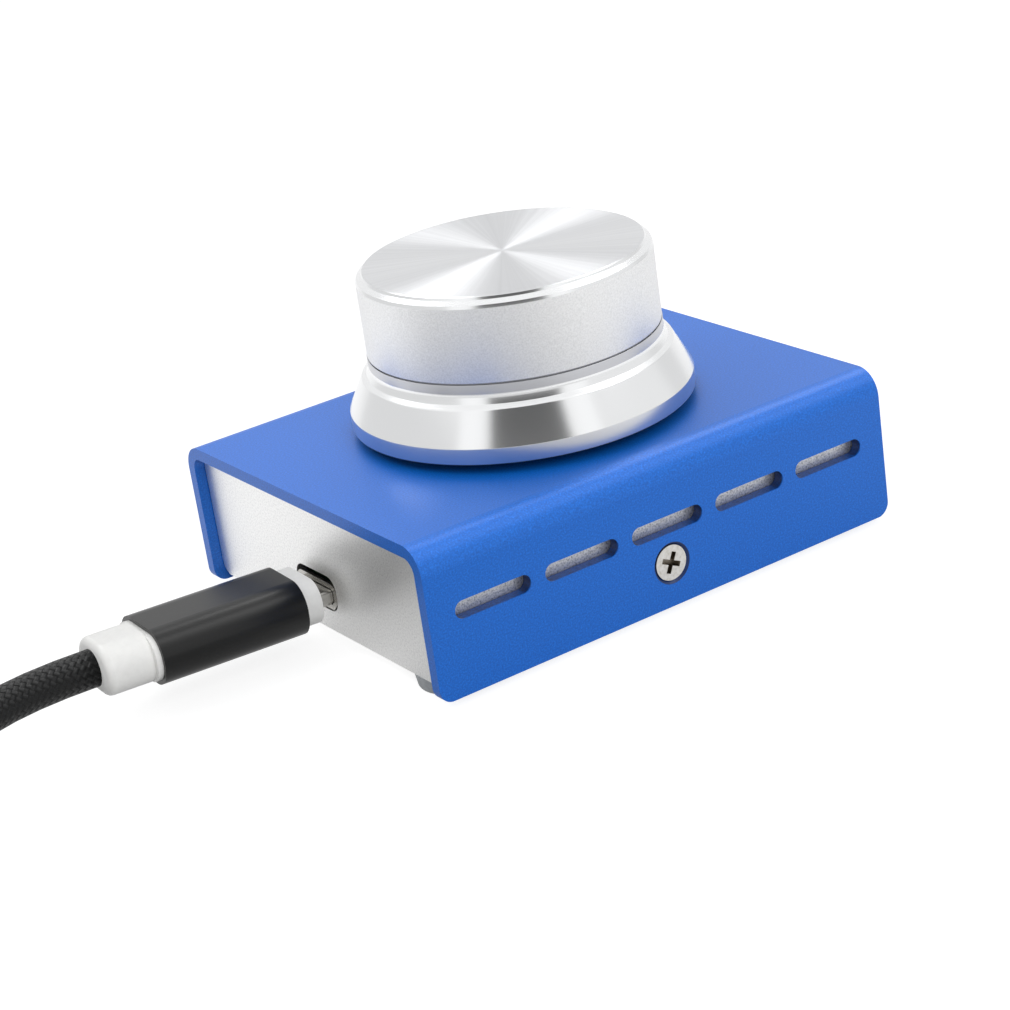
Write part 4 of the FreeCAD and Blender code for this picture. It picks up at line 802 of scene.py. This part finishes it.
@dataclass
class Knob:
    """The turned knob: skirt, cone, ledge, neck, groove, blasted barrel, rim and spun top.

    The rim's corners are shares of its width inwards and of its height down from the top's outer edge, with
    the radius of their rounding and the band that starts there.
    """

    skirt_radius: float = 19.65
    skirt_band: float = 1.9
    skirt_fillet: float = 0.15
    cone_radius: float = 17.75
    cone_height: float = 5.65
    cone_fillet: float = 0.5
    ledge_height: float = 6.05
    ledge_fillet: float = 0.08
    flare: float = 0.35
    neck_radius: float = 16.8
    neck_foot: float = 6.85
    neck_top: float = 8.15
    neck_fillet: float = 1.2
    groove_width: float = 0.15
    groove_depth: float = 0.15
    barrel_radius: float = 16.75
    barrel_fillet: float = 0.05
    height: float = 17.8
    rim_width: float = 0.92
    rim_height: float = 1.1
    rim: tuple[tuple[float, float, float, Band], ...] = (
        (0.16, 0.68, 0.1, Band.CUT),
        (0.8, 0.32, 0.15, Band.CUT),
        (0.96, 0.07, 0.0, Band.TOP),
        (1.15, 0.0, 0.3, Band.TOP),
    )
    bore: float = 15.1
    bore_fillet: float = 0.3
    top: float = 2.4
    segments: int = 256
    finishes: tuple[Finish, ...] = (
        GAP_SHADE_BLACK,
        DIAMOND_CUT,
        BLASTED_ALUMINIUM,
        SPUN_ALUMINIUM,
        TURNED_ALUMINIUM,
        PARTED_SHADED_ALUMINIUM,
        SHADED_NECK_ALUMINIUM,
    )

    def corners(self) -> list[Corner]:
        """Lays the profile out, from the bore's mouth out, up and back to the axis.

        Returns:
            The profile's corners.
        """
        barrel_foot = self.neck_top + self.groove_width
        groove_radius = self.barrel_radius - self.groove_depth
        radius, height = self.barrel_radius, self.height
        rim = [
            Corner(radius - inwards * self.rim_width, height - down * self.rim_height, fillet, band)
            for inwards, down, fillet, band in self.rim
        ]
        return [
            Corner(self.bore, 0, 0, Band.INSIDE),
            Corner(self.skirt_radius, 0, self.skirt_fillet, Band.UPRIGHT),
            Corner(self.skirt_radius, self.skirt_band, self.skirt_fillet, Band.CUT),
            Corner(self.cone_radius, self.cone_height, self.cone_fillet, Band.CUT),
            Corner(self.neck_radius + self.flare, self.ledge_height, self.ledge_fillet, Band.CUT),
            Corner(self.neck_radius, self.neck_foot, self.neck_fillet, Band.NECK),
            Corner(self.neck_radius, self.neck_top, self.barrel_fillet, Band.GROOVE),
            Corner(groove_radius, self.neck_top, 0, Band.GROOVE),
            Corner(groove_radius, barrel_foot, 0, Band.GROOVE),
            Corner(radius, barrel_foot, self.barrel_fillet, Band.BARREL),
            Corner(radius, height - self.rim_height, self.barrel_fillet, Band.CUT),
            *rim,
            Corner(0, height, 0, Band.INSIDE),
            Corner(0, height - self.top, 0, Band.INSIDE),
            Corner(self.bore, height - self.top, self.bore_fillet, Band.INSIDE),
        ]

    def build(self, nodes: dict[str, bpy.types.Object]) -> None:
        """Turns the knob and dresses what carries it.

        Args:
            nodes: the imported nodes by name.
        """
        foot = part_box("knob_shell")[0].z
        made = lathe("turned_knob", self.corners(), foot, self.finishes, self.segments)
        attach(made, "knob")
        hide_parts("knob_shell")
        dress(nodes, GREY_ABS, "knob_core")
        dress(nodes, TURNED_BRASS, "encoder_shaft")
        LOG.info("built the knob")


# ---------------------------------------------------------------- the case and what is in it


@dataclass
class Case:
    """The folded cover, the tray, their screws and the feet."""

    vents_rise: float = 9.5

    def build(self, nodes: dict[str, bpy.types.Object]) -> None:
        """Dresses the case.

        Args:
            nodes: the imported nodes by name.
        """
        low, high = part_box("cover_screws")
        middle = ((low.x + high.x) / 2 / MM, (low.z + high.z) / 2 / MM)
        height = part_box("top_cover")[0].z / MM + self.vents_rise
        # The cover's countersink and both pieces' vents get painted shade.
        dress(nodes, replace(BLUE_ANODISED, hole=middle, vents_height=height), "top_cover")
        dress(nodes, replace(SILVER_ANODISED, vents_height=height), "base_tray")
        dress(nodes, SCREW_STEEL, "cover_screws")
        dress(nodes, GREY_RUBBER, *[name for name in nodes if name.startswith("foot_")])


@dataclass
class SnapDome:
    """The encoder's snap dome at rest; pressed, the share to which the knob's push would flatten it, is not
    used.
    """

    radius: float = 2.6
    crown_radius: float = 0.87
    rise: float = 0.8
    sheet: float = 0.12
    inner_fillet: float = 0.4
    outer_fillet: float = 0.5
    pressed: float = 0.42
    segments: int = 48

    def build(self) -> None:
        """Presses the dome from its sheet."""
        corners = [
            Corner(0, self.rise - self.sheet),
            Corner(self.crown_radius, self.rise - self.sheet, self.inner_fillet),
            Corner(self.radius, 0),
            Corner(self.radius + self.sheet, 0),
            Corner(self.crown_radius + self.sheet, self.rise, self.outer_fillet),
            Corner(0, self.rise),
        ]
        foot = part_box("switch_dome")[0].z
        made = lathe("snap_dome", corners, foot, [CONNECTOR_STEEL], self.segments)
        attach(made, "housing")
        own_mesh(made)
        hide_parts("switch_dome")
        LOG.info("pressed the snap dome")


@dataclass
class Electronics:
    """The board, its parts, the receptacle and the encoder."""

    pieces: tuple[tuple[Finish, tuple[str, ...]], ...] = (
        (SOLDER_MASK, ("circuit_board",)),
        (TURNED_BRASS, ("board_standoffs", "encoder_bushing", "panel_nut", "encoder_terminals")),
        (NICKEL_STEEL, ("board_screws",)),
        (BLACK_EPOXY, ("controller_chip", "resistors")),
        (CONNECTOR_STEEL, ("crystal", "usb_receptacle_shell")),
        (ZINC_STEEL, ("capacitors", "encoder_bracket", "seating_washer", "panel_washer")),
        (GOLD_FLASH, ("usb_receptacle_contacts",)),
        (BLACK_NYLON, ("usb_receptacle_core", "encoder_base", "encoder_rotor", "switch_plunger")),
    )

    def build(self, nodes: dict[str, bpy.types.Object]) -> None:
        """Dresses the inner pieces."""
        for finish, names in self.pieces:
            dress(nodes, finish, *names)


# ---------------------------------------------------------------- the lead and its plugs


@dataclass
class Lead:
    """The braided lead from the small plug to the full-size one, with most of it in a tied coil.

    The coil winds inwards on the lower layer and outwards on the upper one. It climbs between them over a
    short share of its length near the middle. Its radii are those of the lead's middle line. The line is a
    curve whose order is smoothness, in so many steps from one of its points to the next.
    """

    diameter: float = 4.2
    route_out: tuple[Point, ...] = (
        (-56.874, 1.699, 6.812),
        (-68.863, 2.118, 7.126),
        (-79.6, -3.3, 4.8),
        (-88.2, -9.0, 2.8),
        (-97.3, -10.6, 2.6),
        (-105.7, -9.1, 2.6),
    )
    route_in: tuple[Point, ...] = (
        (-121.4, -1.7, 6.8),
        (-130.4, 6.5, 8.1),
        (-133.4, 18.5, 10.4),
        (-128.9, 30.2, 12.2),
        (-118.4, 37.5, 12.8),
        (-105.0, 37.5, 12.8),
    )
    coil_middle: Point = (-101.6, 20.0, 0.0)
    coil_outer: float = 29.4
    coil_inner: float = 16.5
    whole_turns: int = 6
    layers: tuple[float, float] = (2.6, 6.8)
    climb_start: float = 0.47
    climb_share: float = 0.06
    points_per_turn: int = 16
    smoothness: int = 3
    steps: int = 6
    sides: int = 24
    pieces: tuple[tuple[Finish, tuple[str, ...]], ...] = (
        (BLACK_TAPE, ("cord_tie",)),
        (CONNECTOR_STEEL, ("plug_shell", "host_plug_shell")),
        (BLACK_NYLON, ("plug_insulator",)),
        (BLACK_SLEEVE, ("plug_sleeve", "host_plug_sleeve")),
        (WHITE_ABS, ("plug_moulding", "strain_relief", "host_strain_relief")),
        (WHITE_ABS, ("host_plug_moulding", "host_plug_insulator")),
    )

    def coil(self) -> list[Point]:
        """Winds the coil's turns: in on the lower layer, and out again on the upper one.

        Returns:
            Control points between the two free stretches.
        """
        middle = Vector(self.coil_middle)
        start = self.angle_of(self.route_out[-1])
        end = self.angle_of(self.route_in[0])
        step = math.tau / self.points_per_turn
        swept = (start - end) % math.tau + self.whole_turns * math.tau
        count = round(swept / step)
        widen = 1 / math.cos(step / 2)
        points = []
        for i in range(1, count):
            share = i / count
            angle = start - swept * share
            inwards = 1 - abs(2 * share - 1)
            radius = (self.coil_outer - (self.coil_outer - self.coil_inner) * inwards) * widen
            climb = min(max((share - self.climb_start) / self.climb_share, 0.0), 1.0)
            height = self.layers[0] + (self.layers[1] - self.layers[0]) * climb
            points.append((middle.x + radius * math.cos(angle), middle.y + radius * math.sin(angle), height))
        return points

    def angle_of(self, point: Point) -> float:
        """The direction of a point from the coil's middle, seen from above."""
        return math.atan2(point[1] - self.coil_middle[1], point[0] - self.coil_middle[0])

    def centreline(self) -> list[Vector]:
        """Smooths the lead's line.

        Returns:
            Points along the line, in metres.
        """
        control = [*self.route_out, *self.coil(), *self.route_in]
        curve = bpy.data.curves.new("lead_route", "CURVE")
        curve.dimensions = "3D"
        spline = curve.splines.new("NURBS")
        spline.points.add(len(control) - 1)
        for point, at in zip(spline.points, control):
            point.co = (*(Vector(at) * MM), 1.0)
        spline.order_u = self.smoothness
        spline.use_endpoint_u = True
        spline.resolution_u = self.steps
        holder = bpy.data.objects.new("lead_route", curve)
        line = bpy.data.meshes.new_from_object(holder)
        points = [vertex.co.copy() for vertex in line.vertices]
        bpy.data.objects.remove(holder)
        bpy.data.meshes.remove(line)
        return points

    def tube(self, path: list[Vector]) -> tuple[bpy.types.Object, float]:
        """Sweeps the lead's round section along its line, with the distance along and around it as its map.

        Args:
            path: points along the line, in metres.

        Returns:
            The lead and its length in millimetres.
        """
        shape = bmesh.new()
        layer = shape.loops.layers.uv.new("along")
        rings, lengths = [], [0.0]
        side = Vector((0, 0, 1))
        angles = [math.tau * k / self.sides for k in range(self.sides)]
        for i, at in enumerate(path):
            ahead = (path[min(i + 1, len(path) - 1)] - path[max(i - 1, 0)]).normalized()
            side = (side - ahead * side.dot(ahead)).normalized()
            other = ahead.cross(side)
            spokes = [side * math.cos(a) + other * math.sin(a) for a in angles]
            rings.append([shape.verts.new(at + spoke * (self.diameter / 2 * MM)) for spoke in spokes])
            if i:
                lengths.append(lengths[-1] + (at - path[i - 1]).length / MM)
        for i in range(len(rings) - 1):
            for k in range(self.sides):
                after = (k + 1) % self.sides
                face = shape.faces.new((rings[i][k], rings[i][after], rings[i + 1][after], rings[i + 1][k]))
                face.smooth = True
                places = ((i, k), (i, k + 1), (i + 1, k + 1), (i + 1, k))
                for loop, (row, column) in zip(face.loops, places):
                    loop[layer].uv = (lengths[row], column / self.sides)
        for ring in (rings[0][::-1], rings[-1]):
            shape.faces.new(ring)
        mesh = bpy.data.meshes.new("braided_lead")
        shape.to_mesh(mesh)
        shape.free()
        return new_object("braided_lead", mesh, [material_of(BLACK_BRAID)]), lengths[-1]

    def build(self, nodes: dict[str, bpy.types.Object]) -> None:
        """Lays the lead and dresses both plugs.

        Args:
            nodes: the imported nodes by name.
        """
        path = self.centreline()
        made, length = self.tube(path)
        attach(made, "plug")
        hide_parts("cord", "cord_coil", "cord_tail")
        for finish, names in self.pieces:
            dress(nodes, finish, *names)
        far_pieces = [nodes[name] for name in nodes if name.startswith("host_") or name == "cord_tie"]
        for piece in (made, *far_pieces):
            piece.visible_glossy = False
        LOG.info("laid the lead, %.0f mm long", length)


# ---------------------------------------------------------------- the studio


@dataclass(frozen=True)
class Panel:
    """A patch of the surroundings that shows in the metal.

    Attributes:
        azimuth: its middle in degrees, from the camera's side of the knob, clockwise from above.
        elevation: its middle in degrees above the horizon.
        width: half its width in degrees.
        height: half its height in degrees.
        fade: degrees over which its edge fades.
        strength: its brightness, where 1 is white.
    """

    azimuth: float
    elevation: float
    width: float
    height: float
    fade: float
    strength: float

    def over(
        self, tree: bpy.types.NodeTree, azimuth: Source, elevation: Source, behind: Source | float
    ) -> bpy.types.Node:
        """Lays the patch over what is behind it.

        Args:
            tree: the surroundings' nodes.
            azimuth: the azimuth of a ray, in radians.
            elevation: the elevation of a ray, in radians.
            behind: the brightness behind the patch.

        Returns:
            The brightness with the patch.
        """
        across = self.share(tree, azimuth, self.azimuth, self.width)
        upright = self.share(tree, elevation, self.elevation, self.height)
        cover = add_node(tree, MATH, (across, upright), operation="MULTIPLY")
        return add_node(tree, MIX, {"Factor": cover, "A": behind, "B": self.strength})

    def share(self, tree: bpy.types.NodeTree, angle: Source, middle: float, half: float) -> bpy.types.Node:
        """Tells how far an angle is inside the patch.

        Args:
            tree: the surroundings' nodes.
            angle: the angle, in radians.
            middle: the patch's middle, in degrees.
            half: half the patch's size, in degrees.

        Returns:
            A share from 0 outside the patch to 1 inside it.
        """
        off = add_node(tree, MATH, (angle, math.radians(middle - 180)), operation="SUBTRACT")
        off = add_node(tree, MATH, (off, math.tau), operation="FLOORED_MODULO")
        off = add_node(tree, MATH, (off, math.pi), operation="SUBTRACT")
        off = add_node(tree, MATH, (off,), operation="ABSOLUTE")
        near, far = math.radians(half), math.radians(half + self.fade)
        limits = {"From Min": near, "From Max": far, "To Min": 1.0, "To Max": 0.0}
        return add_node(tree, MAP_RANGE, {"Value": off, **limits}, interpolation_type="SMOOTHSTEP")


@dataclass(frozen=True)
class Shade:
    """A soft, darker patch of the floor, as the metal mirrors it.

    Attributes:
        x: its middle, in millimetres.
        y: its middle, in millimetres.
        radius: how far it is even, in millimetres.
        fade: how far its edge fades, in millimetres.
        share: how much of the light it takes, from 0 to 1, or adds where it is below 0.
    """

    x: float
    y: float
    radius: float
    fade: float
    share: float

    def over(self, tree: bpy.types.NodeTree, place: Source, light: Source | float) -> bpy.types.Node:
        """Takes the patch's share from a light.

        Args:
            tree: the floor's nodes.
            place: the place on the floor.
            light: the light before.

        Returns:
            The light that is left.
        """
        middle = (self.x * MM, self.y * MM, 0.0)
        off = add_node(tree, VECTOR_MATH, (place, middle), operation="DISTANCE").outputs["Value"]
        near, far = self.radius * MM, (self.radius + self.fade) * MM
        limits = {"From Min": near, "From Max": far, "To Min": 1.0 - self.share, "To Max": 1.0}
        left = add_node(tree, MAP_RANGE, {"Value": off, **limits}, interpolation_type="SMOOTHSTEP")
        return add_node(tree, MATH, (light, left), operation="MULTIPLY")


@dataclass(frozen=True)
class Lamp:
    """A square soft light, which the metal doesn't mirror.

    Attributes:
        name: its name.
        at: its place, in millimetres.
        size: its side, in millimetres.
        power: its power, in watts.
    """

    name: str
    at: Point
    size: float
    power: float

    def hang(self, target: Point) -> None:
        """Hangs the lamp so that it faces a target.

        Args:
            target: the place that it faces, in millimetres.
        """
        data = bpy.data.lights.new(self.name, "AREA")
        data.shape = "SQUARE"
        data.size = self.size * MM
        data.energy = self.power
        made = new_object(self.name, data)
        made.location = Vector(self.at) * MM
        made.rotation_euler = (Vector(target) * MM - made.location).to_track_quat("-Z", "Y").to_euler()
        made.visible_glossy = False


@dataclass
class Studio:
    """A white floor and surroundings, soft lights and the camera.

    The camera's angles are in degrees. The glows and the wall are brightnesses, where 1 is white.
    """

    camera_at: Point = (-149.98, -236.96, 120.37)
    azimuth: float = 31.54
    elevation: float = 22.06
    roll: float = 8.49
    lens: float = 93.37
    sensor: float = 36.0
    nearest: float = 10.0
    floor_size: float = 4000.0
    paper: str = "#a8a8a8"
    ambient: float = 0.55
    wall: float = 0.8
    glow: float = 0.8
    mirrored_glow: float = 0.72
    # The ceiling, the far wall, the right wall, the two lights that make the fans on the knob's top, a strip
    # at each side of the dark gap on the camera's side, that gap, and a light at the right for the cover.
    panels: tuple[Panel, ...] = (
        Panel(0, 70, 180, 32, 14, 1.05),
        Panel(180, 12, 36, 16, 12, 0.96),
        Panel(-80, 14, 25, 18, 14, 0.92),
        Panel(150, 51.5, 13.5, 7, 6, 7.6),
        Panel(-147, 51, 12, 4, 7, 6.4),
        Panel(-40, 36, 8, 22, 4, 1.1),
        Panel(40, 36, 8, 22, 4, 1.1),
        Panel(0, 41, 26, 17, 3, 0.12),
        Panel(-88, 50, 15, 9, 10, 2.9),
    )
    # The floor in front of the vents, at the case's near corner, out from that corner, beyond the port's far
    # corner, where it is brighter, and before the port.
    shades: tuple[Shade, ...] = (
        Shade(0, -42, 22, 40, 0.36),
        Shade(-48, -26, 12, 14, 0.55),
        Shade(-108, -86, 60, 90, 0.6),
        Shade(-80, 50, 40, 50, -0.18),
        Shade(-42, 2, 7, 9, 0.22),
    )
    lamps: tuple[Lamp, ...] = (
        Lamp("key_light", (-260, 160, 420), 240, 0.64),
        Lamp("fill_light", (-60, -460, 240), 420, 1.35),
    )
    lit_place: Point = (0, 0, 15)

    def look(self) -> Vector:
        """The direction in which the camera looks."""
        a, e = math.radians(self.azimuth), math.radians(self.elevation)
        return Vector((math.sin(a) * math.cos(e), math.cos(a) * math.cos(e), -math.sin(e)))

    def camera(self) -> None:
        """Sets the camera up."""
        data = bpy.data.cameras.new("camera")
        data.lens = self.lens
        data.sensor_width = self.sensor
        data.clip_start = self.nearest * MM
        made = new_object("camera", data)
        upright = (-self.look()).to_track_quat("Z", "Y").to_matrix().to_4x4()
        tilt = Matrix.Rotation(math.radians(-self.roll), 4, "Z")
        made.matrix_world = Matrix.Translation(Vector(self.camera_at) * MM) @ upright @ tilt
        bpy.context.scene.camera = made

    def floor(self) -> None:
        """Lays a white floor that keeps the object's shadow."""
        paper = bpy.data.materials.new("white_paper")
        paper.use_nodes = True
        tree = paper.node_tree
        tree.nodes.remove(tree.nodes["Principled BSDF"])
        matt = add_node(tree, "ShaderNodeBsdfDiffuse", {"Color": linear(self.paper)})
        paths = add_node(tree, "ShaderNodeLightPath").outputs
        place = add_node(tree, COORDINATES).outputs["Object"]
        mirrored = self.mirrored_glow
        for shade in self.shades:
            mirrored = shade.over(tree, place, mirrored)
        strength = add_node(tree, MIX, {"Factor": paths["Is Glossy Ray"], "A": self.glow, "B": mirrored})
        glow = add_node(tree, "ShaderNodeEmission", {"Color": linear(WHITE), "Strength": strength})
        seen = add_node(tree, "ShaderNodeAddShader", (matt, glow))
        seeing = (paths["Is Camera Ray"], paths["Is Transmission Ray"])
        direct = add_node(tree, MATH, seeing, operation="MAXIMUM")
        shown = add_node(tree, MATH, (direct, paths["Is Glossy Ray"]), operation="MAXIMUM")
        mixed = add_node(tree, "ShaderNodeMixShader", (shown, matt, seen))
        tree.links.new(mixed.outputs[0], tree.nodes["Material Output"].inputs["Surface"])
        half = self.floor_size / 2 * MM
        corners = [(-half, -half, 0), (half, -half, 0), (half, half, 0), (-half, half, 0)]
        mesh = bpy.data.meshes.new("floor")
        mesh.from_pydata(corners, [], [(0, 1, 2, 3)])
        new_object("floor", mesh, [paper])

    def surroundings(self) -> None:
        """Makes the white surroundings, with the panels and the dark gap that the metal mirrors."""
        world = bpy.data.worlds.new("studio")
        world.use_nodes = True
        bpy.context.scene.world = world
        tree = world.node_tree
        way = add_node(tree, COORDINATES).outputs["Generated"]
        heading = math.radians(self.azimuth)
        left, near = (-math.cos(heading), math.sin(heading), 0), (-math.sin(heading), -math.cos(heading), 0)
        parts = [
            add_node(tree, VECTOR_MATH, (way, axis), operation="DOT_PRODUCT").outputs["Value"]
            for axis in (left, near)
        ]
        azimuth = add_node(tree, MATH, parts, operation="ARCTAN2")
        height = add_node(tree, SEPARATE, (way,)).outputs["Z"]
        elevation = add_node(tree, MATH, (height,), operation="ARCSINE")
        mirrored = self.wall
        for panel in self.panels:
            mirrored = panel.over(tree, azimuth, elevation, mirrored)
        paths = add_node(tree, "ShaderNodeLightPath").outputs
        seeing = (paths["Is Camera Ray"], paths["Is Transmission Ray"])
        open_view = add_node(tree, MATH, seeing, operation="MAXIMUM")
        lit = add_node(tree, MIX, {"Factor": paths["Is Glossy Ray"], "A": self.ambient, "B": mirrored})
        strength = add_node(tree, MIX, {"Factor": open_view, "A": lit, "B": 1.0})
        background = tree.nodes["Background"]
        background.inputs["Color"].default_value = linear(WHITE)
        tree.links.new(strength.outputs[0], background.inputs["Strength"])

    def build(self) -> None:
        """Sets the whole studio up."""
        bpy.context.scene.view_settings.view_transform = "Standard"
        self.camera()
        self.floor()
        self.surroundings()
        for lamp in self.lamps:
            lamp.hang(self.lit_place)
        LOG.info("set the studio up")


# ---------------------------------------------------------------- everything


def main() -> None:
    """Builds every sub-assembly in order."""
    logging.basicConfig(level=logging.INFO, format="%(message)s")
    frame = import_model()
    nodes = frame["nodes"]
    Studio().build()
    Case().build(nodes)
    Electronics().build(nodes)
    SnapDome().build()
    Knob().build(nodes)
    Lead().build(nodes)


if __name__ == "__main__":
    main()
